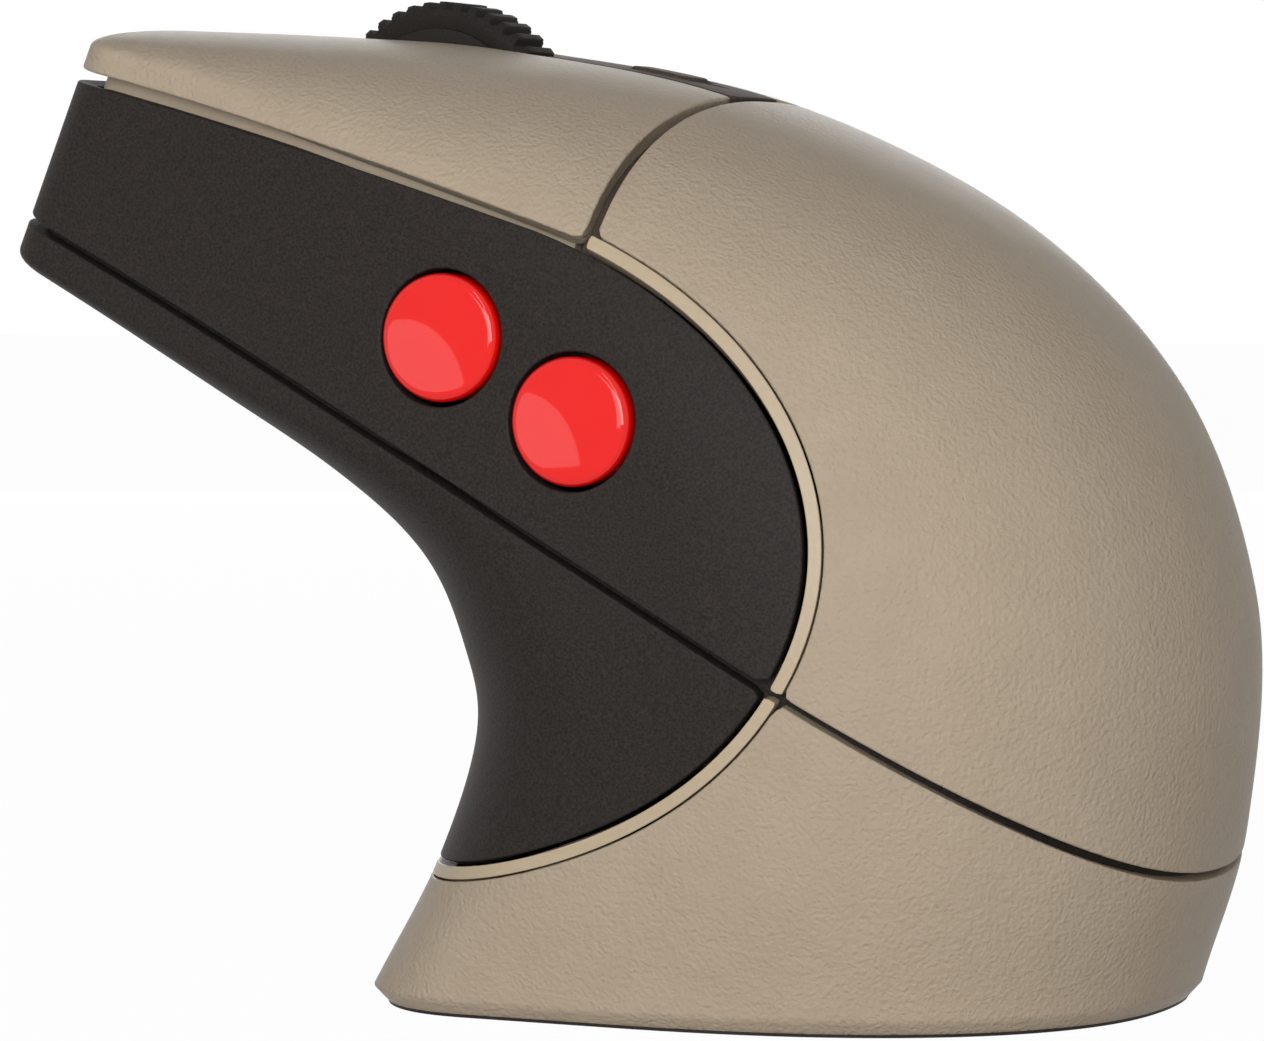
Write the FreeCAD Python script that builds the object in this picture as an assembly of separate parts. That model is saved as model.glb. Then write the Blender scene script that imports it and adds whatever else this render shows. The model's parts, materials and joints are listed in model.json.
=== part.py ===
import FreeCAD, Part
import math
import os

# Gaming mouse of the tall, sloping kind. Millimetres, +Z up, nose towards -X, rear towards +X,
# thumb side towards -Y. The origin is under the middle of the part, on the surface it stands on.

V = FreeCAD.Vector

# Driving dimensions of the body.
# The body is a hull. Each cross-section stands on a straight side-view line from a point on the
# underside to a point on the top or back, and the sections swing from the nose front (first) over
# the back to the foot of the base (last). Columns: place along the sweep, underside X and Z,
# top X and Z, half width, underside rounding depth and power, top rounding depth and power.
HULL = (
    (0.00, -51.6, 62.0, -42.8, 83.6, 28.0, 3.0, 2.3, 2.0, 2.4),
    (0.12, -42.0, 56.8, -29.2, 82.9, 29.3, 3.5, 2.3, 5.5, 2.4),
    (0.24, -30.6, 50.0, -13.1, 81.5, 31.0, 5.0, 2.3, 12.0, 2.4),
    (0.36, -20.6, 43.3, 8.8, 77.0, 32.6, 8.0, 2.3, 19.0, 2.3),
    (0.48, -14.5, 36.4, 29.9, 67.0, 33.6, 14.0, 2.3, 27.0, 2.2),
    (0.60, -12.1, 29.4, 44.5, 52.9, 33.9, 18.0, 2.3, 33.0, 2.15),
    (0.72, -11.7, 23.2, 51.3, 35.2, 33.6, 20.0, 2.3, 35.0, 2.15),
    (0.86, -15.6, 12.4, 50.9, 15.6, 32.2, 20.0, 2.4, 37.0, 2.2),
    (1.00, -21.1, 1.7, 47.0, 1.7, 30.0, 16.0, 2.6, 40.0, 2.3),
)
NOSE_CORNER = 4.0        # upright corner radius of the nose front
NOSE_SWEEP = 0.0103      # share of the sweep for each millimetre behind the nose front
# Shares of half a section's length, from the underside to the top, closer together at the corners
ROUND = (0.0, 0.10, 0.19, 0.26, 0.30, 0.33, 0.36, 0.39, 0.43, 0.5,
         0.57, 0.61, 0.64, 0.67, 0.70, 0.74, 0.81, 0.90, 1.0)
# Places of the sections behind the nose front
SECTIONS_AT = (0.1, 0.19, 0.28, 0.37, 0.46, 0.55, 0.64, 0.73, 0.82, 0.9, 0.96, 1.0)
BASE_BOTTOM = 0.6        # height of the base's lower rim above the desk
BASE_CHAMFER = 1.0       # inset of the chamfer round the base's foot

# Shell thicknesses and gaps
WALL = 1.7               # moulded shells
LIP = 1.2                # thickness of the lips behind the parting lines
LIP_REACH = 2.2          # how far a lip passes its parting line
FIT = 0.15               # clearance between pieces that nest
PART_GAP = 0.7           # open groove along the main parting line
SPLIT_GAP = 1.0          # open groove between the main buttons and the rear cover
TRIM_GAP = 0.4           # dark groove between the black panels and the trim
TRIM_WIDTH = 1.05        # width of the trim strips
BEHIND = WALL + FIT      # depth of what lies just behind a shell
DEEP = BEHIND + LIP      # depth of a lip's inner face
SKIRT_ROOM = 0.6         # room behind the main buttons' skirts as they tip
RIM = WALL + SKIRT_ROOM  # depth of the frame's rim
RIM_RISE = 1.6           # how far the rim stands above the panel's top line

# Side-view lines, as X and Z of three points on an arc
PARTING = ((-46.6, 65.9), (0.0, 42.0), (48.3, 13.3))
PANEL_TOP = ((-41.7, 78.1), (-20.1, 72.4), (5.7, 64.5))
BUTTON_EDGE = ((-42.3, 79.4), (-20.1, 73.5), (5.5, 65.2))
SPLIT = ((6.5, 64.2), (8.6, 77.0))
# Trim line: an ellipse, by its centre, half axes and lean in degrees
TRIM_X = -16.4
TRIM_Z = 41.1
TRIM_LONG = 42.8
TRIM_SHORT = 28.5
TRIM_LEAN = -4.1
TRIM_START = 2.0         # X where the ellipse takes over from the panel's top line

# Centre spine, wheel and the buttons on it
SPINE_HALF = 5.0
SPINE_GAP = 0.4
WHEEL_X = -21.35
WHEEL_Z = 74.9
WHEEL_R = 11.1
WHEEL_WIDTH = 6.4
WHEEL_TEETH = 43
TOOTH_DEPTH = 0.7
TYRE_THICK = 2.4
WHEEL_SIDE_GAP = 0.6
AXLE_R = 1.2
AXLE_HALF = 11.2
RUN_FIT = 0.05           # radial running clearance of pins and axles
CARRIER_PIVOT_X = -4.5
CARRIER_PIVOT_Z = 72.2
CARRIER_ARM = 1.5
CARRIER_PIN_R = 1.5
DPI_X = 0.0
DPI_LENGTH = 6.0
DPI_WIDTH = 4.4
DPI_PROUD = 0.3
DPI_FLANGE = 0.6         # how far the retaining flange passes the cap
LED_X = 4.6
LED_SLOT = 1.6
LED_SLOT_WIDTH = 0.8

# Main button hinges
HINGE_X = 4.6
HINGE_Z = 69.4
HINGE_Y = 14.0
HINGE_PIN_R = 0.75
HINGE_LUG = 7.0          # width of the button's lug
HINGE_EAR = 2.4          # width of each ear on the frame
HINGE_EYE = 1.7          # outer radius of lug and ears

# Thumb buttons, as X and Z of their centres
THUMBS = {"front": (-6.1, 56.9), "rear": (6.1, 50.2)}
THUMB_R = 5.3
THUMB_RING = 0.4
THUMB_PROUD = 0.5
THUMB_FLANGE = 1.2
THUMB_STEM_R = 2.0
THUMB_BOARD_Y = -18.0    # inner face of the thumb board
THUMB_BOARD = (36.0, 9.0)
THUMB_POST_AT = 15.6

# Boards and switches
BOARD = 1.6
TACT = 6.0
TACT_HEIGHT = 4.3
PLUNGER_R = 1.4
PLUNGER_PROUD = 0.9
PLUNGER_ROOT = 0.7       # length of a plunger inside its housing at rest
PRESS = 0.8              # travel of the small push buttons
TOUCH = 0.3              # rest gap between a presser and what it presses
MICRO = (12.8, 5.8, 6.1)
MICRO_AT = -8.0          # place of the main switches along the deck
MICRO_Y = 15.0
MIDDLE_Y = -8.4          # place of the wheel click switch
DECK = 1.5
DECK_AT = (-20.0, 72.2)  # X and Z of the deck's own origin
DECK_TILT = 16.0         # fall of the deck towards the rear, degrees
UPPER_BOARD = (-22.0, 28.0, 17.6)   # start, end and half width along the deck
UPPER_BOARD_DROP = 2.0   # board top below the deck top
BOARD_POSTS = ((-19.0, 12.5), (-19.0, -12.5), (22.0, 14.5), (22.0, -14.5))   # along the deck, and Y
MAIN_BOARD = (-6.0, 32.0, 20.0)
MAIN_BOARD_Z = 5.2
TONGUE_X = -15.4
TONGUE_HALF = 7.0
STANDOFFS = ((-2.0, 15.0), (28.0, 15.0))
STANDOFF_R = 2.6
SCREW_R = 0.95
PILOT_R = 1.0
HEAD_R = 1.9
HEAD = 1.2
BOSSES = ((-10.0, 25.5), (35.4, 17.5))
BOSS_R = 3.0
BOSS_HEIGHT = 9.0

# Bottom plate and what it holds
PLATE = 1.6
PLATE_BOTTOM = 0.3
SKATE = 0.6
SKATES = {"front_skate": (-9.5, 30.0, 7.0), "rear_skate": (34.0, 26.0, 8.0)}
SENSOR_X = 8.0
SENSOR = 10.0
SENSOR_HEIGHT = 2.5
WINDOW = 8.0
LENS = 13.0
POWER_X = 24.0
POWER_Y = 8.5
POWER_TRAVEL = 2.5
PORT = (7.3, 9.0, 3.2)   # charging port: depth, width, height
PORT_X = -16.9
PORT_MARGIN = 0.25
BATTERY = (30.0, 29.0, 8.0)
TRAY_Z = 13.0
TRAY = 1.5
RIBBON = 0.3
RIBBON_WIDTH = 10.0
RIBBON_LINE = ((-7.5, 9.8), (-7.5, 24.0), (-5.0, 44.0), (-5.0, 60.4))

FAR = 120.0              # beyond every edge of the part


def slopes(column):
    """Slope of one hull column at each row, for a smooth curve through the rows."""
    place = [row[0] for row in HULL]
    value = [row[column] for row in HULL]
    steps = [place[i + 1] - place[i] for i in range(len(HULL) - 1)]
    rates = [(value[i + 1] - value[i]) / steps[i] for i in range(len(steps))]
    inner = [
        (rates[i - 1] * steps[i] + rates[i] * steps[i - 1]) / (steps[i - 1] + steps[i])
        for i in range(1, len(steps))
    ]
    return [rates[0]] + inner + [rates[-1]]


SLOPES = [None] + [slopes(column) for column in range(1, len(HULL[0]))]


def hull_value(t, column):
    """Hull column at place t: a cubic between the two nearest rows."""
    row = 0
    while row < len(HULL) - 2 and t > HULL[row + 1][0]:
        row += 1
    step = HULL[row + 1][0] - HULL[row][0]
    u = (t - HULL[row][0]) / step
    low, high = HULL[row][column], HULL[row + 1][column]
    low_rate, high_rate = SLOPES[column][row] * step, SLOPES[column][row + 1] * step
    rise = low * (1 + 2 * u) * (1 - u) ** 2 + high * u * u * (3 - 2 * u)
    return rise + low_rate * u * (1 - u) ** 2 + high_rate * u * u * (u - 1)


def section(t, depth, narrow=0.0):
    """Closed outline of the hull at place t, sunk by depth below the outer skin."""
    x0, z0, x1, z1, half, low, low_power, top, top_power = [
        hull_value(t, column) for column in range(1, 10)
    ]
    length = math.hypot(x1 - x0, z1 - z0)
    along = V((x1 - x0) / length, 0, (z1 - z0) / length)
    start = V(x0, 0, z0) + along * depth
    length -= 2 * depth
    half -= depth + narrow
    low = max(low - depth, 0.8)
    top = max(top - depth, 0.8)
    side = []
    for k in range(40):
        q = k / 40 * math.pi / 2
        side.append((half * math.sin(q) ** (2 / low_power), low * (1 - math.cos(q) ** (2 / low_power))))
    for k in range(61):
        q = k / 60 * math.pi / 2
        y = half * max(math.cos(q), 0.0) ** (2 / top_power)
        side.append((y, length - top + top * math.sin(q) ** (2 / top_power)))
    near = [start + along * s - V(0, y, 0) for y, s in spaced(side)]
    far = [V(p.x, -p.y, p.z) for p in reversed(near[1:-1])]
    return near + far


def spaced(side):
    """Points on an outline at the shares of its length in ROUND."""
    runs = [0.0]
    for (y0, s0), (y1, s1) in zip(side, side[1:]):
        runs.append(runs[-1] + math.hypot(y1 - y0, s1 - s0))
    made = []
    k = 0
    for share in ROUND:
        run = share * runs[-1]
        while k < len(runs) - 2 and run > runs[k + 1]:
            k += 1
        u = (run - runs[k]) / (runs[k + 1] - runs[k])
        (y0, s0), (y1, s1) = side[k], side[k + 1]
        made.append((y0 + (y1 - y0) * u, s0 + (s1 - s0) * u))
    return made


def outline_curve(points):
    """Smooth closed curve through a section's points, from the underside's middle round and back."""
    knots = [share / 2 for share in ROUND] + [1 - share / 2 for share in reversed(ROUND[:-1])]
    curve = Part.BSplineCurve()
    curve.interpolate(Points=points, PeriodicFlag=True, Parameters=knots)
    return curve


def outline_face(points):
    """Flat face inside a closed outline, its edge in two halves that meet on the middle plane."""
    curve = outline_curve(points)
    return Part.Face(Part.Wire([curve.toShape(0.0, 0.5), curve.toShape(0.5, 1.0)]))


def lofted(outlines, ruled=False):
    """Solid through closed outlines, its side in two faces that meet on the middle plane."""
    wires = [Part.Wire([outline_curve(points).toShape()]) for points in outlines]
    loft = Part.makeLoft(wires, True, ruled)
    faces = [face for face in loft.Faces if isinstance(face.Surface, Part.Plane)]
    for face in loft.Faces:
        if not isinstance(face.Surface, Part.Plane):
            for start, end in ((0.0, 0.5), (0.5, 1.0)):
                surface = face.Surface
                surface.setUNotPeriodic()
                surface.segment(start, end, 0.0, 1.0)
                faces.append(surface.toShape())
    hull = Part.Shell(faces)
    hull.sewShape()
    body = Part.Solid(hull)
    return body if body.Volume > 0 else body.reversed()


def nose_sections(depth):
    """Sections that round the upright corners of the nose front, from the front face backwards."""
    radius = max(NOSE_CORNER - depth, 0.6)
    front = depth * NOSE_SWEEP
    made = []
    for degrees in (90, 60, 30):
        angle = math.radians(degrees)
        back = radius * (1 - math.sin(angle))
        made.append(section(front + back * NOSE_SWEEP, depth, radius * (1 - math.cos(angle))))
    return made, front + radius * NOSE_SWEEP


SKINS = {}


def skin(depth):
    """Solid inside the outer skin sunk by depth, open down to the desk where it is a cavity."""
    if depth not in SKINS:
        sections, start = nose_sections(depth)
        sections += [section(t, depth) for t in (start,) + SECTIONS_AT]
        inset = BASE_CHAMFER if depth <= 0 else 0.0
        low = BASE_BOTTOM if depth <= 0 else 0.0
        foot = [V(p.x, p.y, low) for p in section(1.0, depth + inset)]
        end = lofted([section(1.0, depth), foot], True)
        SKINS[depth] = lofted(sections).fuse(end)
    return SKINS[depth]


def shell(outer, inner):
    """Hollow shell between two depths below the skin."""
    key = (outer, inner)
    if key not in SKINS:
        SKINS[key] = skin(outer).cut(skin(inner))
    return SKINS[key]


def circle_through(points):
    """Centre and radius of the circle through three side-view points."""
    (ax, ay), (bx, by), (cx, cy) = points
    d = 2 * (ax * (by - cy) + bx * (cy - ay) + cx * (ay - by))
    a, b, c = ax * ax + ay * ay, bx * bx + by * by, cx * cx + cy * cy
    x = (a * (by - cy) + b * (cy - ay) + c * (ay - by)) / d
    y = (a * (cx - bx) + b * (ax - cx) + c * (bx - ax)) / d
    return x, y, math.hypot(ax - x, ay - y)


def height_on(points, x, shift=0.0):
    """Height of a side-view arc at x, moved by shift square to itself (up is positive)."""
    cx, cy, radius = circle_through(points)
    return cy + math.sqrt((radius + shift) ** 2 - (x - cx) ** 2)


def prism(edges, half=FAR, start=None):
    """Prism along Y over side-view edges drawn as X and Z in the flat XY plane."""
    face = Part.Face(Part.Wire(edges))
    face.rotate(V(0, 0, 0), V(1, 0, 0), 90)
    low = -half if start is None else start
    face.translate(V(0, low, 0))
    return face.extrude(V(0, half - low, 0))


def lines(points):
    """Straight edges through side-view points."""
    flat = [V(x, z, 0) for x, z in points]
    return [Part.LineSegment(a, b).toShape() for a, b in zip(flat, flat[1:])]


def side_of(points, shift, up):
    """Everything above (or below) a side-view arc moved by shift."""
    ends = [(x, height_on(points, x, shift)) for x in (-FAR, 0.0, FAR)]
    arc = Part.Arc(*[V(x, z, 0) for x, z in ends]).toShape()
    limit = 2 * FAR if up else -2 * FAR
    return prism([arc] + lines([ends[2], (FAR, limit), (-FAR, limit), ends[0]]))


def band(points, low, high):
    """Slab between one side-view arc moved by low and by high."""
    return side_of(points, low, True).common(side_of(points, high, False))


def split_at(z, shift=0.0):
    """X of the split between buttons and rear cover at height z."""
    (x0, z0), (x1, z1) = SPLIT
    return x0 + (z - z0) * (x1 - x0) / (z1 - z0) + shift


def before_split(shift):
    """Everything in front of the split line moved by shift."""
    low, high = -FAR, FAR
    corners = [(split_at(low, shift), low), (split_at(high, shift), high), (-2 * FAR, high), (-2 * FAR, low)]
    return prism(lines(corners + corners[:1]))


def trim_point(angle, grow):
    """Point on the trim ellipse grown by grow, at an angle in degrees."""
    lean, turn = math.radians(TRIM_LEAN), math.radians(angle)
    u, v = (TRIM_LONG + grow) * math.cos(turn), (TRIM_SHORT + grow) * math.sin(turn)
    x = TRIM_X + u * math.cos(lean) - v * math.sin(lean)
    return x, TRIM_Z + u * math.sin(lean) + v * math.cos(lean)


def inside_trim(grow):
    """Everything on the black panels' side of the trim line grown by grow."""
    start = math.degrees(math.acos((TRIM_START - TRIM_X) / TRIM_LONG))
    first, last = trim_point(start, grow), trim_point(-90, grow)
    ellipse = Part.Ellipse(V(0, 0, 0), TRIM_LONG + grow, TRIM_SHORT + grow)
    arc = Part.ArcOfEllipse(ellipse, math.radians(-90), math.radians(start)).toShape()
    arc.rotate(V(0, 0, 0), V(0, 0, 1), TRIM_LEAN)
    arc.translate(V(TRIM_X, TRIM_Z, 0))
    corners = [first, (first[0], 2 * FAR), (-FAR, 2 * FAR), (-FAR, last[1]), last]
    return prism([arc] + lines(corners))


def box(x0, x1, y0, y1, z0, z1):
    """Box from its six limits."""
    return Part.makeBox(x1 - x0, y1 - y0, z1 - z0, V(x0, y0, z0))


def rod(radius, x, z, y0, y1):
    """Round bar along Y."""
    return Part.makeCylinder(radius, y1 - y0, V(x, y0, z), V(0, 1, 0))


def post(radius, x, y, z0, z1):
    """Round bar along Z."""
    return Part.makeCylinder(radius, z1 - z0, V(x, y, z0), V(0, 0, 1))


def on_deck(shape):
    """Turn a shape drawn with the deck's top as z = 0 into the deck's place."""
    placed = shape.copy()
    placed.rotate(V(0, 0, 0), V(0, 1, 0), DECK_TILT)
    placed.translate(V(DECK_AT[0], 0, DECK_AT[1]))
    return placed


def deck_point(u, w):
    """X and Z of a point u along the deck and w above it."""
    tilt = math.radians(DECK_TILT)
    x = DECK_AT[0] + u * math.cos(tilt) + w * math.sin(tilt)
    return x, DECK_AT[1] - u * math.sin(tilt) + w * math.cos(tilt)


def deck_height(x, above=0.0):
    """Height over the desk of the plane above the deck, at x."""
    tilt = math.radians(DECK_TILT)
    return DECK_AT[1] - (x - DECK_AT[0]) * math.tan(tilt) + above / math.cos(tilt)


def mirrored(shape):
    """The same shape on the other side of the middle plane."""
    return shape.mirror(V(0, 0, 0), V(0, 1, 0))


def both(shape):
    """A shape and its mirror image as one."""
    return shape.fuse(mirrored(shape))


# Regions of the side view
ABOVE = side_of(PARTING, PART_GAP / 2, True)
BELOW = side_of(PARTING, -PART_GAP / 2, False)
UNDER_PANEL_TOP = side_of(PANEL_TOP, 0.0, False)
OVER_BUTTON_EDGE = side_of(BUTTON_EDGE, 0.0, True)
IN_FRONT = before_split(-SPLIT_GAP / 2)
BLACK_ZONE = inside_trim(-TRIM_GAP)
TRIM_ZONE = inside_trim(TRIM_WIDTH).cut(inside_trim(0.0))
COVER_ZONE = inside_trim(TRIM_WIDTH + FIT)


def cover_front_lip():
    """Step under the buttons' rear edge that closes the split from inside."""
    reach = before_split(SPLIT_GAP / 2 + LIP)
    over = side_of(BUTTON_EDGE, LIP, True)
    lip = shell(BEHIND, DEEP).common(reach.cut(before_split(-SPLIT_GAP / 2 - LIP / 2))).common(over)
    root = shell(0.0, DEEP).common(reach.cut(before_split(SPLIT_GAP / 2))).common(over)
    return lip.fuse(root)


def rear_cover():
    """Large beige cover over the top rear, back and flanks."""
    body = shell(0.0, WALL).common(ABOVE).cut(COVER_ZONE)
    body = body.cut(before_split(SPLIT_GAP / 2))
    return body.fuse(cover_front_lip())


def button(side):
    """Main button: half of the nose top, with a lug on its hinge and a post over its switch."""
    body = shell(0.0, WALL).common(OVER_BUTTON_EDGE).common(IN_FRONT)
    body = body.common(box(-FAR, FAR, -FAR, -SPINE_HALF - SPINE_GAP, 0, FAR))
    inside = skin(WALL / 2)
    y0, y1 = -HINGE_Y - HINGE_LUG / 2, -HINGE_Y + HINGE_LUG / 2
    lug = box(HINGE_X - HINGE_EYE, HINGE_X + HINGE_EYE, y0, y1, HINGE_Z, FAR).common(inside).common(IN_FRONT)
    eye = rod(HINGE_EYE, HINGE_X, HINGE_Z, y0, y1)
    body = body.fuse(lug).fuse(eye).cut(rod(HINGE_PIN_R + RUN_FIT, HINGE_X, HINGE_Z, y0, y1))
    top = MICRO[2] - UPPER_BOARD_DROP + PLUNGER_PROUD + TOUCH / 2
    presser = on_deck(box(MICRO_AT - 1.5, MICRO_AT + 1.5, -MICRO_Y - 2.5, -MICRO_Y + 2.5, top, FAR / 4))
    body = body.fuse(presser.common(inside))
    return body if side < 0 else mirrored(body)


def center_spine():
    """Dark strip between the main buttons, with the wheel slot, on two posts."""
    width = box(-FAR, FAR, -SPINE_HALF, SPINE_HALF, 0, FAR)
    body = shell(0.0, WALL).common(OVER_BUTTON_EDGE).common(IN_FRONT).common(width)
    half = WHEEL_WIDTH / 2 + WHEEL_SIDE_GAP
    slot = WHEEL_R + WHEEL_SIDE_GAP
    body = body.cut(box(WHEEL_X - slot, WHEEL_X + slot, -half, half, WHEEL_Z, FAR))
    room = skin(WALL / 2)
    for x, thick in ((HULL[0][3] + 5.0, 3.0), (LED_X + LED_SLOT / 2 + 0.9, 1.0)):
        leg = box(x - thick / 2, x + thick / 2, -SPINE_HALF + 1, SPINE_HALF - 1, deck_height(x + thick), FAR)
        body = body.fuse(leg.common(room).cut(on_deck(box(-FAR, FAR, -FAR, FAR, -FAR, 0))))
    length, width = DPI_LENGTH / 2 + FIT, DPI_WIDTH / 2 + FIT
    body = body.cut(box(DPI_X - length, DPI_X + length, -width, width, WHEEL_Z, FAR))
    length, width = LED_SLOT / 2 + RUN_FIT, LED_SLOT_WIDTH / 2 + RUN_FIT
    return body.cut(box(LED_X - length, LED_X + length, -width, width, WHEEL_Z, FAR))


def nose_cowl():
    """Black U-shaped cowl: both side panels and the nose front, with two thumb button holes."""
    body = shell(0.0, WALL).common(UNDER_PANEL_TOP).common(ABOVE).common(BLACK_ZONE)
    for x, z in THUMBS.values():
        body = body.cut(rod(THUMB_R + THUMB_RING, x, z, -FAR, 0))
    room = skin(WALL / 2)
    for x, z in thumb_posts():
        pillar = rod(1.8, x, z, -FAR, THUMB_BOARD_Y - BOARD).common(room)
        body = body.fuse(pillar.cut(rod(PILOT_R, x, z, THUMB_BOARD_Y - BOARD - 6, THUMB_BOARD_Y)))
    return body


def parting_lip():
    """Lip behind the parting line, standing up from the lower pieces into the upper ones."""
    stand = shell(BEHIND, DEEP).common(band(PARTING, -PART_GAP / 2, LIP_REACH))
    root = shell(0.0, DEEP).common(band(PARTING, -LIP_REACH, -PART_GAP / 2))
    return stand.fuse(root)


def neck_shell():
    """Black lower neck: the underside of the nose and the column, with both flanks."""
    body = shell(0.0, WALL).common(BELOW).fuse(parting_lip())
    return body.common(BLACK_ZONE)


def base_shell():
    """Beige base with the screw bosses and the opening for the charging port."""
    body = shell(0.0, WALL).common(BELOW).fuse(parting_lip()).cut(COVER_ZONE)
    for x, y in BOSSES:
        low = PLATE_BOTTOM + PLATE
        boss = post(BOSS_R, x, -y, low, low + BOSS_HEIGHT).common(skin(WALL / 2))
        body = body.fuse(both(boss)).cut(both(post(PILOT_R, x, -y, low, low + BOSS_HEIGHT - 2)))
    depth, width, height = PORT
    z = MAIN_BOARD_Z + BOARD
    margin = PORT_MARGIN
    half = width / 2 + margin
    return body.cut(box(PORT_X - FAR, PORT_X + depth, -half, half, z - margin, z + height + margin))


def trim(upper, side=0):
    """Slim trim strip along the trim line, above or below the parting line."""
    body = shell(0.0, WALL).common(TRIM_ZONE)
    if not upper:
        return body.common(BELOW)
    body = body.common(ABOVE).cut(before_split(0.0))
    half = box(-FAR, FAR, -FAR, 0, 0, FAR)
    return body.common(half) if side < 0 else body.cut(half)


def button_frame():
    """Beige frame under the main buttons: the ledge, the deck and the hinge ears."""
    ring = shell(RIM, RIM + LIP).common(band(PANEL_TOP, -LIP_REACH, RIM_RISE))
    deck = skin(RIM).common(on_deck(box(-FAR, FAR, -FAR, FAR, -DECK, 0)))
    frame = ring.fuse(deck).common(before_split(-SPLIT_GAP / 2 - LIP - TOUCH))
    arm = WHEEL_WIDTH / 2 + WHEEL_SIDE_GAP + CARRIER_ARM + TOUCH
    slot = on_deck(box(-14.5, 15.5, -arm, arm, -DECK, 2.0))
    frame = frame.cut(slot)
    side = WHEEL_SIDE_GAP
    micro = box(MICRO_AT - MICRO[0] / 2 - side, MICRO_AT + MICRO[0] / 2 + side,
                -MICRO_Y - MICRO[1] / 2 - side, -MICRO_Y + MICRO[1] / 2 + side, -DECK, 1.0)
    frame = frame.cut(on_deck(both(micro)))
    u = middle_places()[0]
    window = box(u - TACT / 2 - side, u + TACT / 2 + side, -AXLE_HALF - side, AXLE_HALF + side, -DECK, 1.0)
    frame = frame.cut(on_deck(window))
    frame = frame.cut(box(DPI_X - 4, LED_X + 1.2, -3.6, 3.6, 0, FAR))
    bore = HINGE_PIN_R + RUN_FIT / 2
    for y in (-HINGE_Y - HINGE_LUG / 2 - FIT - HINGE_EAR, -HINGE_Y + HINGE_LUG / 2 + FIT):
        frame = frame.fuse(both(ear(HINGE_X, HINGE_Z, HINGE_EYE, y, y + HINGE_EAR, bore)))
    inner = arm + TOUCH
    frame = frame.fuse(both(ear(CARRIER_PIVOT_X, CARRIER_PIVOT_Z, CARRIER_PIN_R + 1.2, inner, inner + 2.0,
                                CARRIER_PIN_R + RUN_FIT)))
    for u, y in BOARD_POSTS:
        stud = on_deck(post(2.2, u, y, -UPPER_BOARD_DROP, -DECK / 2).cut(post(PILOT_R, u, y, -9, 9)))
        frame = frame.cut(on_deck(post(PILOT_R, u, y, -9, 9))).fuse(stud)
    return frame


def ear(x, z, radius, y0, y1, bore):
    """Upright ear on the deck with a bore along Y."""
    upright = box(x - radius, x + radius, y0, y1, 0, z)
    upright = upright.cut(on_deck(box(-FAR, FAR, -FAR, FAR, -FAR, -DECK / 2)))
    return upright.fuse(rod(radius, x, z, y0, y1)).cut(rod(bore, x, z, y0 - 1, y1 + 1))


def hinge_pin(side):
    """Steel pin through one main button's lug and the frame's ears."""
    half = HINGE_LUG / 2 + FIT + HINGE_EAR
    return rod(HINGE_PIN_R, HINGE_X, HINGE_Z, side * HINGE_Y - half, side * HINGE_Y + half)


def scroll_tyre():
    """Rubber tyre with straight grip teeth."""
    half = WHEEL_WIDTH / 2
    ring = rod(WHEEL_R - TOOTH_DEPTH, WHEEL_X, WHEEL_Z, -half, half)
    width = 2 * math.pi * WHEEL_R / WHEEL_TEETH * 0.5
    teeth = []
    for k in range(WHEEL_TEETH):
        base, tip = WHEEL_R - TOOTH_DEPTH - 0.3, WHEEL_R
        flat = [(base, -width * 0.65), (tip, -width * 0.35), (tip, width * 0.35), (base, width * 0.65)]
        tooth = prism(lines(flat + flat[:1]), half, -half)
        tooth.rotate(V(0, 0, 0), V(0, 1, 0), 360.0 * k / WHEEL_TEETH)
        tooth.translate(V(WHEEL_X, 0, WHEEL_Z))
        teeth.append(tooth)
    tyre = ring.multiFuse(teeth)
    return tyre.cut(rod(WHEEL_R - TYRE_THICK, WHEEL_X, WHEEL_Z, -half, half))


def wheel_hub():
    """Plastic wheel core with lightening holes, gripping the axle."""
    radius, half = WHEEL_R - TYRE_THICK, WHEEL_WIDTH / 2
    hub = rod(radius, WHEEL_X, WHEEL_Z, -half, half)
    for k in range(6):
        angle = math.radians(60 * k)
        x, z = WHEEL_X + radius * 0.58 * math.cos(angle), WHEEL_Z + radius * 0.58 * math.sin(angle)
        hub = hub.cut(rod(radius * 0.2, x, z, -half, half))
    return hub.cut(rod(AXLE_R, WHEEL_X, WHEEL_Z, -half, half))


def wheel_axle():
    """Steel axle through the wheel and both carrier arms."""
    return rod(AXLE_R, WHEEL_X, WHEEL_Z, -AXLE_HALF, AXLE_HALF)


def wheel_carrier():
    """Fork that holds the wheel and tips about its pivot bar for the wheel click."""
    inner = WHEEL_WIDTH / 2 + WHEEL_SIDE_GAP
    outer = inner + CARRIER_ARM
    reach = AXLE_R + 1.6
    corners = ((WHEEL_X - reach, WHEEL_Z - reach), (CARRIER_PIVOT_X, CARRIER_PIVOT_Z - 1.8),
               (CARRIER_PIVOT_X, CARRIER_PIVOT_Z + 1.8), (WHEEL_X - reach, WHEEL_Z + reach))
    arm = prism(lines(corners + corners[:1]), -inner, -outer)
    web_x = WHEEL_X + WHEEL_R + 1.6
    web = box(web_x, CARRIER_PIVOT_X, -outer, outer, CARRIER_PIVOT_Z - 1.8, CARRIER_PIVOT_Z + 1.4)
    bar_end = outer + TOUCH * 2 + 1.8
    bar = rod(CARRIER_PIN_R, CARRIER_PIVOT_X, CARRIER_PIVOT_Z, -bar_end, bar_end)
    fork = both(arm).fuse(web).fuse(bar)
    return fork.cut(rod(AXLE_R + RUN_FIT, WHEEL_X, WHEEL_Z, -FAR, FAR))


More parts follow.
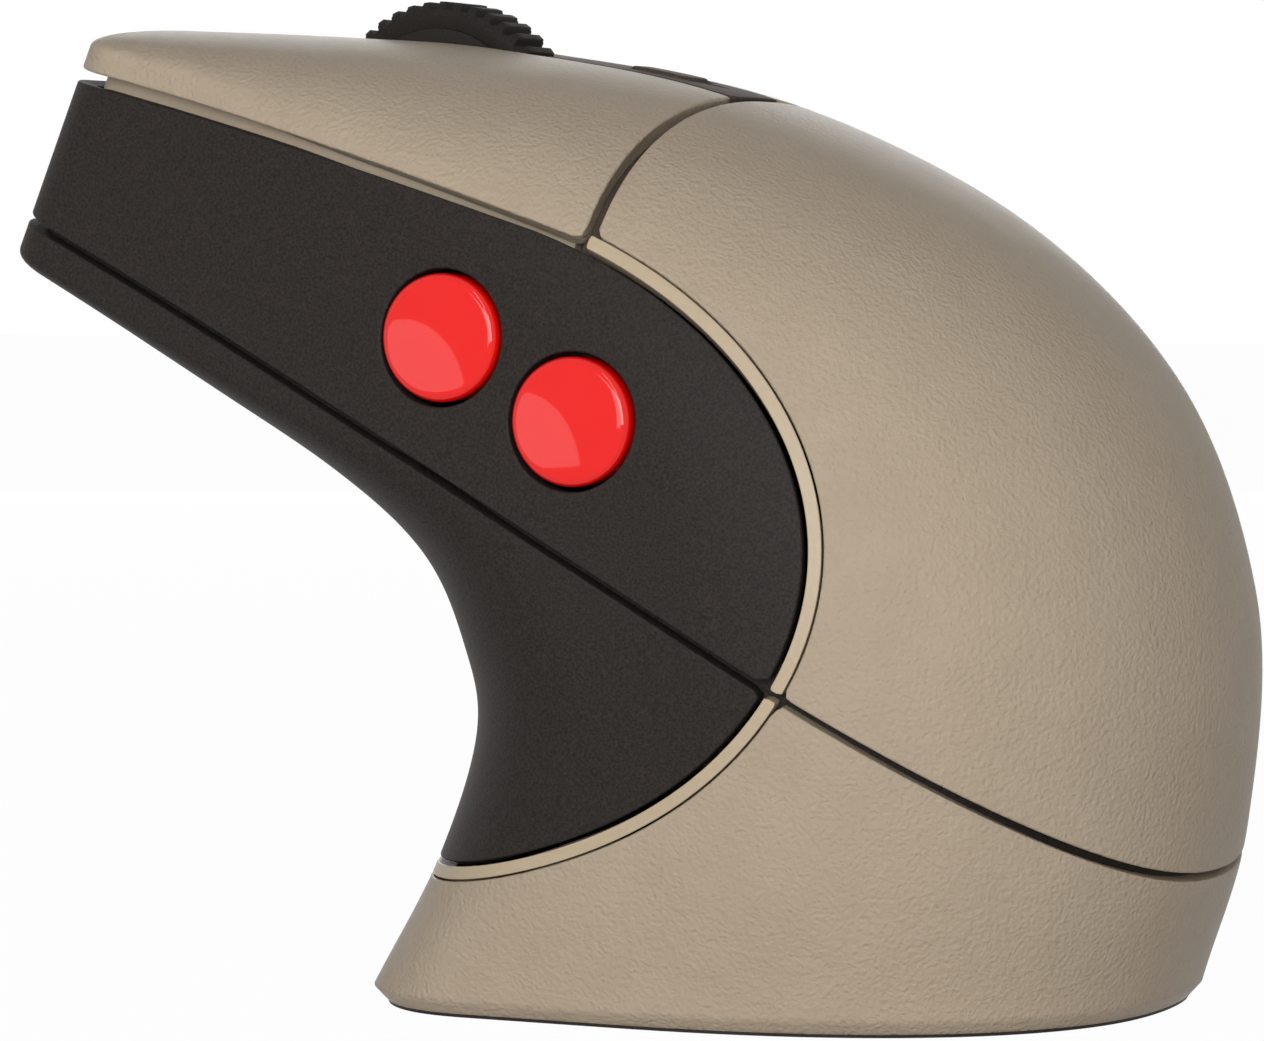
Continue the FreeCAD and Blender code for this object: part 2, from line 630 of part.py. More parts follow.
def wheel_encoder():
    """Encoder housing on the upper board, open round the axle's end."""
    u = middle_places()[0]
    body = on_deck(box(u - TACT / 2, u + TACT / 2, 7.6, AXLE_HALF, -UPPER_BOARD_DROP, 7.0))
    return body.cut(rod(AXLE_R + 1.6, WHEEL_X, WHEEL_Z, 0, FAR))


def encoder_rotor():
    """Rotor of the encoder, on the axle."""
    ring = rod(AXLE_R + 0.8, WHEEL_X, WHEEL_Z, 8.0, AXLE_HALF - 0.4)
    return ring.cut(rod(AXLE_R, WHEEL_X, WHEEL_Z, 0, FAR))


def upper_board():
    """Circuit board hung under the deck."""
    start, end, half = UPPER_BOARD
    top = -UPPER_BOARD_DROP
    board = box(start, end, -half, half, top - BOARD, top)
    arm = WHEEL_WIDTH / 2 + WHEEL_SIDE_GAP + CARRIER_ARM + TOUCH
    board = board.cut(box(-14.5, 14.0, -arm, arm, top - BOARD, top))
    for u, y in BOARD_POSTS:
        board = board.cut(post(PILOT_R + 0.2, u, y, top - BOARD, top))
    return on_deck(board)


def micro_switch(side):
    """Main button's micro switch housing."""
    length, width, height = MICRO
    low = -UPPER_BOARD_DROP
    body = box(MICRO_AT - length / 2, MICRO_AT + length / 2, -width / 2, width / 2, low, low + height)
    sink = PLUNGER_ROOT + PRESS + FIT
    body = body.cut(box(MICRO_AT - 1.2, MICRO_AT + 1.2, -1.6, 1.6, low + height - sink, low + height))
    body.translate(V(0, side * MICRO_Y, 0))
    return on_deck(body)


def micro_plunger(side):
    """Red plunger in the top of a micro switch."""
    top = MICRO[2] - UPPER_BOARD_DROP
    body = box(MICRO_AT - 1.1, MICRO_AT + 1.1, -1.5, 1.5, top - PLUNGER_ROOT, top + PLUNGER_PROUD)
    body.translate(V(0, side * MICRO_Y, 0))
    return on_deck(body)


def tact(height):
    """Housing of a small push switch, drawn standing on z = 0."""
    body = box(-TACT / 2, TACT / 2, -TACT / 2, TACT / 2, 0, height)
    sink = PLUNGER_ROOT + PRESS + FIT
    return body.cut(post(PLUNGER_R + RUN_FIT * 2, 0, 0, height - sink, height))


def middle_places():
    """Place along the deck, and height, of the switch under the axle's near end."""
    tilt = math.radians(DECK_TILT)
    dx, dz = WHEEL_X - DECK_AT[0], WHEEL_Z - DECK_AT[1]
    u = dx * math.cos(tilt) - dz * math.sin(tilt)
    w = dx * math.sin(tilt) + dz * math.cos(tilt)
    return u, w - AXLE_R - TOUCH


def middle_switch():
    """Push switch for the wheel click, under the axle's thumb-side end."""
    u, top = middle_places()
    low = -UPPER_BOARD_DROP
    body = tact(top - PLUNGER_PROUD - low)
    body.translate(V(u, MIDDLE_Y, low))
    return on_deck(body)


def middle_plunger():
    """Plunger of the wheel click switch."""
    u, top = middle_places()
    return on_deck(post(PLUNGER_R, u, MIDDLE_Y, top - PLUNGER_PROUD - PLUNGER_ROOT, top))


def dpi_places():
    """Place along the deck of the sensitivity button's switch, and its plunger's top height."""
    tilt = math.radians(DECK_TILT)
    low = -UPPER_BOARD_DROP
    u = (DPI_X - DECK_AT[0]) / math.cos(tilt) - (low + TACT_HEIGHT) * math.tan(tilt)
    return u, low + TACT_HEIGHT + PLUNGER_PROUD


def dpi_switch():
    """Push switch under the sensitivity button."""
    body = tact(TACT_HEIGHT)
    body.translate(V(dpi_places()[0], 0, -UPPER_BOARD_DROP))
    return on_deck(body)


def dpi_plunger():
    """Plunger of the sensitivity button's switch."""
    u, top = dpi_places()
    return on_deck(post(PLUNGER_R, u, 0, top - PLUNGER_PROUD - PLUNGER_ROOT, top))


def dpi_button():
    """Small sensitivity button in the spine, with its stem."""
    length, width = DPI_LENGTH / 2, DPI_WIDTH / 2
    sides = box(DPI_X - length, DPI_X + length, -width, width, WHEEL_Z, FAR)
    cap = skin(-DPI_PROUD).common(sides).cut(skin(DEEP))
    edge = DPI_FLANGE
    wide = box(DPI_X - length - edge, DPI_X + length + edge / 2, -width - edge, width + edge, WHEEL_Z, FAR)
    flange = shell(BEHIND, DEEP).common(wide)
    u, top = dpi_places()
    x, z = deck_point(u, top)
    low = z + TOUCH + PLUNGER_R * math.tan(math.radians(DECK_TILT))
    stem = post(PLUNGER_R, x, 0, low, FAR).common(skin(WALL))
    return cap.fuse(flange).fuse(stem)


def indicator_led():
    """Light on the upper board under the light pipe."""
    body = box(-0.8, 0.8, -0.6, 0.6, 0, 0.8)
    x = LED_X
    tilt = math.radians(DECK_TILT)
    u = (x - DECK_AT[0]) / math.cos(tilt) + UPPER_BOARD_DROP * math.tan(tilt)
    body.translate(V(u, 0, -UPPER_BOARD_DROP))
    return on_deck(body)


def indicator_lens():
    """Light pipe from the board's light up to a slot in the spine."""
    low = deck_height(LED_X, -UPPER_BOARD_DROP + 0.8) + 0.55
    head = box(LED_X - LED_SLOT / 2, LED_X + LED_SLOT / 2, -LED_SLOT_WIDTH / 2, LED_SLOT_WIDTH / 2, low, FAR)
    return head.common(skin(0.0))


def along_thumbs(distance):
    """X and Z on the line through both thumb buttons, measured from their middle."""
    (x0, z0), (x1, z1) = THUMBS["front"], THUMBS["rear"]
    span = math.hypot(x1 - x0, z1 - z0)
    mid_x, mid_z = (x0 + x1) / 2, (z0 + z1) / 2
    return mid_x + (x1 - x0) / span * distance, mid_z + (z1 - z0) / span * distance


def thumb_posts():
    """Centres of the two posts that carry the thumb board."""
    return [along_thumbs(-THUMB_POST_AT), along_thumbs(THUMB_POST_AT)]


def thumb_button(name):
    """Round thumb button: a cap that follows the skin, a retaining flange and a stem."""
    x, z = THUMBS[name]
    cap = skin(-THUMB_PROUD).common(rod(THUMB_R, x, z, -FAR, 0)).cut(skin(DEEP))
    flange = rod(THUMB_R + THUMB_FLANGE, x, z, -FAR, 0).common(shell(BEHIND, DEEP))
    end = THUMB_BOARD_Y - BOARD - TACT_HEIGHT - PLUNGER_PROUD - TOUCH
    stem = rod(THUMB_STEM_R, x, z, -FAR, end).common(skin(WALL))
    return cap.fuse(flange).fuse(stem)


def thumb_plunger(name):
    """Plunger of a thumb switch."""
    x, z = THUMBS[name]
    face = THUMB_BOARD_Y - BOARD - TACT_HEIGHT
    return rod(PLUNGER_R, x, z, face - PLUNGER_PROUD, face + PLUNGER_ROOT)


def thumb_switch(name):
    """Housing of a thumb switch on the thumb board."""
    x, z = THUMBS[name]
    body = tact(TACT_HEIGHT)
    body.rotate(V(0, 0, 0), V(1, 0, 0), 90)
    body.translate(V(x, THUMB_BOARD_Y - BOARD, z))
    return body


def thumb_board():
    """Upright circuit board behind the thumb buttons."""
    length, width = THUMB_BOARD
    board = box(-length / 2, length / 2, THUMB_BOARD_Y - BOARD, THUMB_BOARD_Y, -width / 2, width / 2)
    (x0, z0), (x1, z1) = THUMBS["front"], THUMBS["rear"]
    board.rotate(V(0, 0, 0), V(0, 1, 0), math.degrees(math.atan2(z0 - z1, x1 - x0)))
    board.translate(V((x0 + x1) / 2, 0, (z0 + z1) / 2))
    for x, z in thumb_posts():
        board = board.cut(rod(PILOT_R + 0.2, x, z, THUMB_BOARD_Y - BOARD, THUMB_BOARD_Y))
    return board


def screw(radius, length):
    """Round-headed screw drawn with its head's seat at z = 0, pointing up."""
    head = post(HEAD_R, 0, 0, -HEAD, 0)
    return head.fuse(post(radius, 0, 0, 0, length))


def thumb_screws():
    """Two screws that hold the thumb board on its posts."""
    made = []
    for x, z in thumb_posts():
        one = screw(SCREW_R, BOARD + 4)
        one.rotate(V(0, 0, 0), V(1, 0, 0), 90)
        one.translate(V(x, THUMB_BOARD_Y, z))
        made.append(one)
    return Part.Compound(made)


def upper_screws():
    """Four screws that hold the upper board under the deck."""
    made = []
    for u, y in BOARD_POSTS:
        one = screw(SCREW_R, BOARD + 1.8)
        one.translate(V(u, y, -UPPER_BOARD_DROP - BOARD))
        made.append(on_deck(one))
    return Part.Compound(made)


def plate_outline(inset, z):
    """Outline of the base's foot, inset, at height z."""
    return outline_face([V(p.x, p.y, z) for p in section(1.0, inset)])


def slot_shape(x, length, width, z0, z1):
    """Upright stadium across the base, from its X, its length along Y and its width."""
    reach = length / 2 - width / 2
    body = box(x - width / 2, x + width / 2, -reach, reach, z0, z1)
    return body.fuse(post(width / 2, x, -reach, z0, z1)).fuse(post(width / 2, x, reach, z0, z1))


def bottom_plate():
    """Black bottom plate with its rim, standoffs, windows and skate recesses."""
    low, top = PLATE_BOTTOM, PLATE_BOTTOM + PLATE
    body = plate_outline(WALL + FIT, low).extrude(V(0, 0, PLATE))
    body = body.fuse(plate_outline(BASE_CHAMFER + FIT, low).extrude(V(0, 0, BASE_BOTTOM - low)))
    for x, y in STANDOFFS:
        stand = post(STANDOFF_R, x, -y, top, MAIN_BOARD_Z).cut(post(PILOT_R, x, -y, top, MAIN_BOARD_Z))
        body = body.fuse(both(stand))
    for x, y in BOSSES:
        hole = post(PILOT_R + 0.2, x, -y, 0, FAR).fuse(post(HEAD_R + FIT, x, -y, 0, low + HEAD * 0.8))
        body = body.cut(both(hole))
    for x, length, width in SKATES.values():
        body = body.cut(slot_shape(x, length + FIT, width + FIT, 0, SKATE))
    body = body.cut(box(SENSOR_X - WINDOW / 2, SENSOR_X + WINDOW / 2, -WINDOW / 2, WINDOW / 2, 0, top))
    return body.cut(box(POWER_X - 3.6, POWER_X + 3.6, POWER_Y - 1.8, POWER_Y + 1.8, 0, top))


def bottom_screws():
    """Four screws through the bottom plate into the base's bosses."""
    made = []
    for x, y in BOSSES:
        for side in (-1, 1):
            one = screw(SCREW_R, PLATE - HEAD * 0.8 + BOSS_HEIGHT - 3)
            one.translate(V(x, side * y, PLATE_BOTTOM + HEAD * 0.8))
            made.append(one)
    return Part.Compound(made).common(box(-FAR, FAR, -FAR, FAR, PLATE_BOTTOM, FAR))


def skate(name):
    """Low-friction foot in its recess."""
    x, length, width = SKATES[name]
    return slot_shape(x, length, width, 0, SKATE)


def main_board():
    """Main circuit board on the bottom plate's standoffs, with a tongue for the charging port."""
    start, end, half = MAIN_BOARD
    low, top = MAIN_BOARD_Z, MAIN_BOARD_Z + BOARD
    board = box(start, end, -half, half, low, top)
    board = board.fuse(box(TONGUE_X, start + 1, -TONGUE_HALF, TONGUE_HALF, low, top)).removeSplitter()
    window = WINDOW - 1
    board = board.cut(box(SENSOR_X - window / 2, SENSOR_X + window / 2, -window / 2, window / 2, low, top))
    for x, y in STANDOFFS:
        board = board.cut(both(post(PILOT_R + 0.2, x, -y, low, top)))
    return board


def optical_sensor():
    """Optical sensor over the board's window."""
    low, half = MAIN_BOARD_Z + BOARD, SENSOR / 2
    return box(SENSOR_X - half, SENSOR_X + half, -half, half, low, low + SENSOR_HEIGHT)


def sensor_lens():
    """Clear lens between the bottom plate and the main board."""
    low = PLATE_BOTTOM + PLATE
    foot = box(SENSOR_X - LENS / 2, SENSOR_X + LENS / 2, -LENS / 2, LENS / 2, low, MAIN_BOARD_Z)
    eye = post(WINDOW / 2 - 1, SENSOR_X, 0, low - 0.8, low)
    barrel = post(WINDOW / 2 - 1.2, SENSOR_X, 0, MAIN_BOARD_Z, MAIN_BOARD_Z + BOARD)
    return foot.fuse(eye).fuse(barrel)


def controller_chip():
    """Controller on the main board."""
    low = MAIN_BOARD_Z + BOARD
    return box(18.0, 25.0, -3.5, 3.5, low, low + 1.0)


def usb_port():
    """Charging receptacle on the board's tongue, its mouth at the toe of the base."""
    depth, width, height = PORT
    low = MAIN_BOARD_Z + BOARD
    body = box(PORT_X, PORT_X + depth, -width / 2, width / 2, low, low + height)
    edges = [edge for edge in body.Edges if abs(edge.tangentAt(0).x) > 0.9]
    body = body.makeFillet(height * 0.45, edges)
    thin = 0.35
    half = width / 2 - thin
    cavity = box(PORT_X, PORT_X + depth - 1.2, -half, half, low + thin, low + height - thin)
    edges = [edge for edge in cavity.Edges if abs(edge.tangentAt(0).x) > 0.9]
    cavity = cavity.makeFillet((height / 2 - thin) * 0.9, edges)
    tongue = box(PORT_X + 1.0, PORT_X + depth, -width / 2 + 1.2, width / 2 - 1.2, low + height / 2 - 0.35,
                 low + height / 2 + 0.35)
    return body.cut(cavity).fuse(tongue)


def power_switch():
    """Slide switch housing under the main board."""
    low = PLATE_BOTTOM + PLATE + 0.9
    return box(POWER_X - 4.5, POWER_X + 4.5, POWER_Y - 2.2, POWER_Y + 2.2, low, MAIN_BOARD_Z)


def power_slider():
    """Knob of the power switch in the bottom plate's slot, at its off end."""
    low = PLATE_BOTTOM + 0.3
    x = POWER_X - POWER_TRAVEL / 2
    top = PLATE_BOTTOM + PLATE + 0.9 - RUN_FIT
    knob = box(x - 2.0, x + 2.0, POWER_Y - 1.5, POWER_Y + 1.5, low, top)
    return knob.cut(box(x - 0.4, x + 0.4, POWER_Y - 1.5, POWER_Y + 1.5, low, low + 0.4))


def battery_tray():
    """Tray on four legs over the main board."""
    length, width, height = BATTERY
    start = (STANDOFFS[0][0] + STANDOFFS[1][0]) / 2
    half_x, half_y = length / 2 + TRAY + TOUCH, width / 2 + TRAY + TOUCH
    body = box(start - half_x, start + half_x, -half_y, half_y, TRAY_Z, TRAY_Z + TRAY + height * 0.7)
    body = body.cut(box(start - half_x + TRAY, start + half_x - TRAY, -half_y + TRAY, half_y - TRAY,
                        TRAY_Z + TRAY, FAR))
    seat = TRAY_Z + TRAY - HEAD
    for x, y in STANDOFFS:
        body = body.fuse(both(post(STANDOFF_R, x, -y, MAIN_BOARD_Z + BOARD, TRAY_Z + TRAY)))
        hole = post(PILOT_R, x, -y, 0, seat).fuse(post(HEAD_R + FIT, x, -y, seat, FAR))
        body = body.cut(both(hole))
    return body


def battery_cell():
    """Flat rechargeable cell in its tray."""
    length, width, height = BATTERY
    start = (STANDOFFS[0][0] + STANDOFFS[1][0]) / 2
    low = TRAY_Z + TRAY
    body = box(start - length / 2, start + length / 2, -width / 2, width / 2, low, low + height)
    return body.makeFillet(1.5, [edge for edge in body.Edges if abs(edge.tangentAt(0).z) > 0.9])


def tray_screws():
    """Four long screws through the tray and board into the standoffs."""
    made = []
    seat = TRAY_Z + TRAY - HEAD
    length = seat - MAIN_BOARD_Z + 2.4
    for x, y in STANDOFFS:
        for side in (-1, 1):
            one = screw(SCREW_R, length)
            one.rotate(V(0, 0, 0), V(1, 0, 0), 180)
            one.translate(V(x, side * y, seat))
            made.append(one)
    return Part.Compound(made)


def ribbon_cable():
    """Flat cable through the neck between both boards."""
    left = Part.BSplineCurve()
    left.interpolate([V(x - RIBBON / 2, z, 0) for x, z in RIBBON_LINE])
    right = Part.BSplineCurve()
    right.interpolate([V(x + RIBBON / 2, z, 0) for x, z in RIBBON_LINE])
    (x0, z0), (x1, z1) = RIBBON_LINE[0], RIBBON_LINE[-1]
    half = RIBBON / 2
    edges = [left.toShape(), right.toShape()]
    edges += lines([(x0 - half, z0), (x0 + half, z0)]) + lines([(x1 - half, z1), (x1 + half, z1)])
    return prism(Part.__sortEdges__(edges), RIBBON_WIDTH / 2)


def lower_connector():
    """Cable socket on the main board."""
    x, z = RIBBON_LINE[0]
    low = MAIN_BOARD_Z + BOARD
    half = RIBBON_WIDTH / 2 + 1
    body = box(x - 1.4, x + 1.4, -half, half, low, z + 1.5)
    return body.cut(box(x - RIBBON, x + RIBBON, -RIBBON_WIDTH / 2 - FIT, RIBBON_WIDTH / 2 + FIT, z, FAR))


def upper_connector():
    """Cable socket under the upper board."""
    x, z = RIBBON_LINE[-1]
    half = RIBBON_WIDTH / 2 + 1
    under = on_deck(box(-FAR, FAR, -FAR, FAR, -FAR, -UPPER_BOARD_DROP - BOARD))
    body = box(x - 1.6, x + 1.6, -half, half, z - 1.5, FAR).common(under)
    slot = RIBBON * 2
    return body.cut(box(x - slot, x + slot, -RIBBON_WIDTH / 2 - FIT, RIBBON_WIDTH / 2 + FIT, z - 2, z))


PIECES = {
    "rear_cover": rear_cover,
    "left_button": lambda: button(-1),
    "right_button": lambda: button(1),
    "center_spine": center_spine,
    "button_frame": button_frame,
    "left_hinge_pin": lambda: hinge_pin(-1),
    "right_hinge_pin": lambda: hinge_pin(1),
    "nose_cowl": nose_cowl,
    "neck_shell": neck_shell,
    "base_shell": base_shell,
    "upper_trim_left": lambda: trim(True, -1),
    "upper_trim_right": lambda: trim(True, 1),
    "lower_trim": lambda: trim(False),
    "scroll_tyre": scroll_tyre,
    "wheel_hub": wheel_hub,
    "wheel_axle": wheel_axle,
    "wheel_carrier": wheel_carrier,
    "wheel_encoder": wheel_encoder,
    "encoder_rotor": encoder_rotor,
    "upper_board": upper_board,
    "upper_screws": upper_screws,
    "left_switch": lambda: micro_switch(-1),
    "right_switch": lambda: micro_switch(1),
    "left_switch_plunger": lambda: micro_plunger(-1),
    "right_switch_plunger": lambda: micro_plunger(1),
    "middle_switch": middle_switch,
    "middle_switch_plunger": middle_plunger,
    "dpi_button": dpi_button,
    "dpi_switch": dpi_switch,
    "dpi_switch_plunger": dpi_plunger,
    "indicator_led": indicator_led,
    "indicator_lens": indicator_lens,
    "thumb_button_front": lambda: thumb_button("front"),
    "thumb_button_rear": lambda: thumb_button("rear"),
    "thumb_switch_front": lambda: thumb_switch("front"),
    "thumb_switch_rear": lambda: thumb_switch("rear"),
    "thumb_plunger_front": lambda: thumb_plunger("front"),
    "thumb_plunger_rear": lambda: thumb_plunger("rear"),
    "thumb_board": thumb_board,
    "thumb_screws": thumb_screws,
    "bottom_plate": bottom_plate,
    "bottom_screws": bottom_screws,
    "front_skate": lambda: skate("front_skate"),
    "rear_skate": lambda: skate("rear_skate"),
    "main_board": main_board,
    "optical_sensor": optical_sensor,
    "sensor_lens": sensor_lens,
    "controller_chip": controller_chip,
    "usb_port": usb_port,
    "power_switch": power_switch,
    "power_slider": power_slider,
    "battery_tray": battery_tray,
    "battery_cell": battery_cell,
    "tray_screws": tray_screws,
    "ribbon_cable": ribbon_cable,
    "lower_connector": lower_connector,
    "upper_connector": upper_connector,
}

os.makedirs("parts", exist_ok=True)
for name, make in PIECES.items():
    shape = make()
    shape.exportStep("parts/" + name + ".step")
    solids = shape.Solids
    print(name, len(solids), "solid(s)", round(sum(s.Volume for s in solids), 1), "mm3", shape.isValid())
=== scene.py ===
import json
import math

import bpy
import numpy as np
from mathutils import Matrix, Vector


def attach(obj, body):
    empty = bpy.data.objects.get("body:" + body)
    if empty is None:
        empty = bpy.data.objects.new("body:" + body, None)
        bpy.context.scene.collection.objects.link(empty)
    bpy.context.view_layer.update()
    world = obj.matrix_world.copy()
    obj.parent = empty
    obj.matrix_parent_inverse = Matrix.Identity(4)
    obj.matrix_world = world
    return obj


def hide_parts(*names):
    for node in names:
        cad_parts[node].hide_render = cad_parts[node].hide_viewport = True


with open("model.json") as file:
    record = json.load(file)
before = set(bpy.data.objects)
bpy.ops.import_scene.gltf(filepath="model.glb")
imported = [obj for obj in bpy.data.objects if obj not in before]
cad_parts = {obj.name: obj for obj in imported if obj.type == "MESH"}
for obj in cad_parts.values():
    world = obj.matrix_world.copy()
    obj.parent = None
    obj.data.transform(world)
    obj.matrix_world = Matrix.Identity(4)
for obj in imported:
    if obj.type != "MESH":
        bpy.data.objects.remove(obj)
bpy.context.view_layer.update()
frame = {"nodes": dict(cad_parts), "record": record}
nodes = frame["nodes"]
MM = 0.001

# ---- Camera ----
# A long lens low over the desk, looking at the thumb side from a little behind the mouse. Its turn
# is measured from a straight look at the thumb side.
LOOK_AT = Vector((-3.75, 0.0, 40.4)) * MM
CAMERA_TURN = math.radians(24.5)
CAMERA_RISE = math.radians(3.0)
CAMERA_DISTANCE = 450 * MM
SENSOR_WIDTH = 36.0
PICTURE_WIDTH = 1264     # in pixels
FOCAL_PIXELS = 5130      # focal length in the picture's pixels
back = Vector((
    math.sin(CAMERA_TURN) * math.cos(CAMERA_RISE),
    -math.cos(CAMERA_TURN) * math.cos(CAMERA_RISE),
    math.sin(CAMERA_RISE),
))
camera_data = bpy.data.cameras.new("camera")
camera_data.sensor_width = SENSOR_WIDTH
camera_data.lens = SENSOR_WIDTH * FOCAL_PIXELS / PICTURE_WIDTH
camera_data.clip_start, camera_data.clip_end = 0.01, 20.0
camera = bpy.data.objects.new("camera", camera_data)
bpy.context.scene.collection.objects.link(camera)
camera.location = LOOK_AT + back * CAMERA_DISTANCE
camera.rotation_mode = "QUATERNION"
camera.rotation_quaternion = (-back).to_track_quat("-Z", "Y")
bpy.context.scene.camera = camera
bpy.context.scene.view_settings.view_transform = "Standard"


# ---- Studio: pale floor, white background and soft lamps ----
# A large white sweep. Soft boxes stand low on the thumb side, so that the flanks are brighter than the
# top. A tall strip lamp draws the sheen along the shoulder, a round one shows in the glossy caps, and
# two weaker ones light the back and the far side.
def linear(code):
    """Linear colour, with full alpha, of an sRGB hex value."""
    parts = [int(code[i:i + 2], 16) / 255 for i in (0, 2, 4)]
    return tuple(p / 12.92 if p <= 0.04045 else ((p + 0.055) / 1.055) ** 2.4 for p in parts) + (1.0,)


def add(tree, kind, sockets=None, **settings):
    """Add a node to a tree, with its settings, and set or link its sockets."""
    node = tree.nodes.new(kind)
    for name, value in settings.items():
        setattr(node, name, value)
    for name, value in (sockets or {}).items():
        if isinstance(value, bpy.types.NodeSocket):
            tree.links.new(value, node.inputs[name])
        else:
            node.inputs[name].default_value = value
    return node


def new_material(name):
    """An empty node material and its tree."""
    material = bpy.data.materials.new(name)
    material.use_nodes = True
    material.node_tree.nodes.clear()
    return material, material.node_tree


def seen_directly(tree):
    """1 for rays from the camera, a reflection or clear plastic, and 0 for the rest of the light."""
    rays = add(tree, "ShaderNodeLightPath")
    either = add(tree, "ShaderNodeMath", {
        0: rays.outputs["Is Camera Ray"], 1: rays.outputs["Is Glossy Ray"]}, operation="MAXIMUM")
    any_of_three = add(tree, "ShaderNodeMath", {
        0: either.outputs[0], 1: rays.outputs["Is Transmission Ray"]}, operation="MAXIMUM")
    return any_of_three.outputs[0]


FLOOR_SHARE = 0.98       # share of plain white that the camera sees in the floor
FLOOR_REACH = 3.0        # half the floor's width, in metres
sweep, tree = new_material("white_paper_sweep")
paper = add(tree, "ShaderNodeBsdfDiffuse", {"Color": linear("C4C3C1")})
glow = add(tree, "ShaderNodeEmission", {"Color": (1, 1, 1, 1), "Strength": 1.0})
seen = add(tree, "ShaderNodeMath", {0: seen_directly(tree), 1: FLOOR_SHARE}, operation="MULTIPLY")
mixed = add(tree, "ShaderNodeMixShader", {0: seen.outputs[0], 1: paper.outputs[0], 2: glow.outputs[0]})
add(tree, "ShaderNodeOutputMaterial", {"Surface": mixed.outputs[0]})
floor_mesh = bpy.data.meshes.new("floor")
corners = [(x * FLOOR_REACH, y * FLOOR_REACH, 0) for x, y in ((-1, -1), (1, -1), (1, 1), (-1, 1))]
floor_mesh.from_pydata(corners, [], [(0, 1, 2, 3)])
floor_mesh.materials.append(sweep)
floor = bpy.data.objects.new("floor", floor_mesh)
bpy.context.scene.collection.objects.link(floor)

WORLD_LEVEL = 0.02       # light that the surroundings give the mouse, as a share of plain white
world = bpy.data.worlds.new("studio")
world.use_nodes = True
world.node_tree.nodes.clear()
tree = world.node_tree
white = add(tree, "ShaderNodeBackground", {"Color": (1, 1, 1, 1), "Strength": 1.0})
dim = add(tree, "ShaderNodeBackground", {"Color": linear("F2F3F5"), "Strength": WORLD_LEVEL})
mixed = add(tree, "ShaderNodeMixShader", {0: seen_directly(tree), 1: dim.outputs[0], 2: white.outputs[0]})
add(tree, "ShaderNodeOutputWorld", {"Surface": mixed.outputs[0]})
bpy.context.scene.world = world


def soft_box(name, turn, rise, distance, width, height, level):
    """White rectangular lamp aimed at the mouse, its turn and rise in degrees and its sizes in metres.

    level is the share of plain white that it adds to a surface facing it.
    """
    data = bpy.data.lights.new(name, "AREA")
    data.shape = "RECTANGLE"
    data.size, data.size_y = width, height
    data.energy = level * math.pi ** 2 * distance ** 2
    lamp = bpy.data.objects.new(name, data)
    bpy.context.scene.collection.objects.link(lamp)
    turn, rise = math.radians(turn), math.radians(rise)
    way = Vector((math.sin(turn) * math.cos(rise), -math.cos(turn) * math.cos(rise), math.sin(rise)))
    lamp.location = LOOK_AT + way * distance
    lamp.rotation_mode = "QUATERNION"
    lamp.rotation_quaternion = way.to_track_quat("Z", "Y")
    return lamp


LAMP_DISTANCE = 0.9
CAP_LAMP_DISTANCE = 0.25
soft_box("main_lamp", 22, 9, LAMP_DISTANCE, 0.4, 0.4, 0.56)
soft_box("fill_lamp", 2, 8, LAMP_DISTANCE, 0.4, 0.4, 0.24)
soft_box("strip_lamp", 28, 38, LAMP_DISTANCE, 0.1, 0.6, 0.14)
soft_box("rear_lamp", 110, 3, LAMP_DISTANCE, 0.4, 0.3, 0.1)
soft_box("far_lamp", 205, 8, LAMP_DISTANCE, 0.5, 0.4, 0.25)
cap_lamp = soft_box("cap_lamp", -32, -8, CAP_LAMP_DISTANCE, 0.13, 0.13, 0.12)
cap_lamp.data.shape = "DISK"


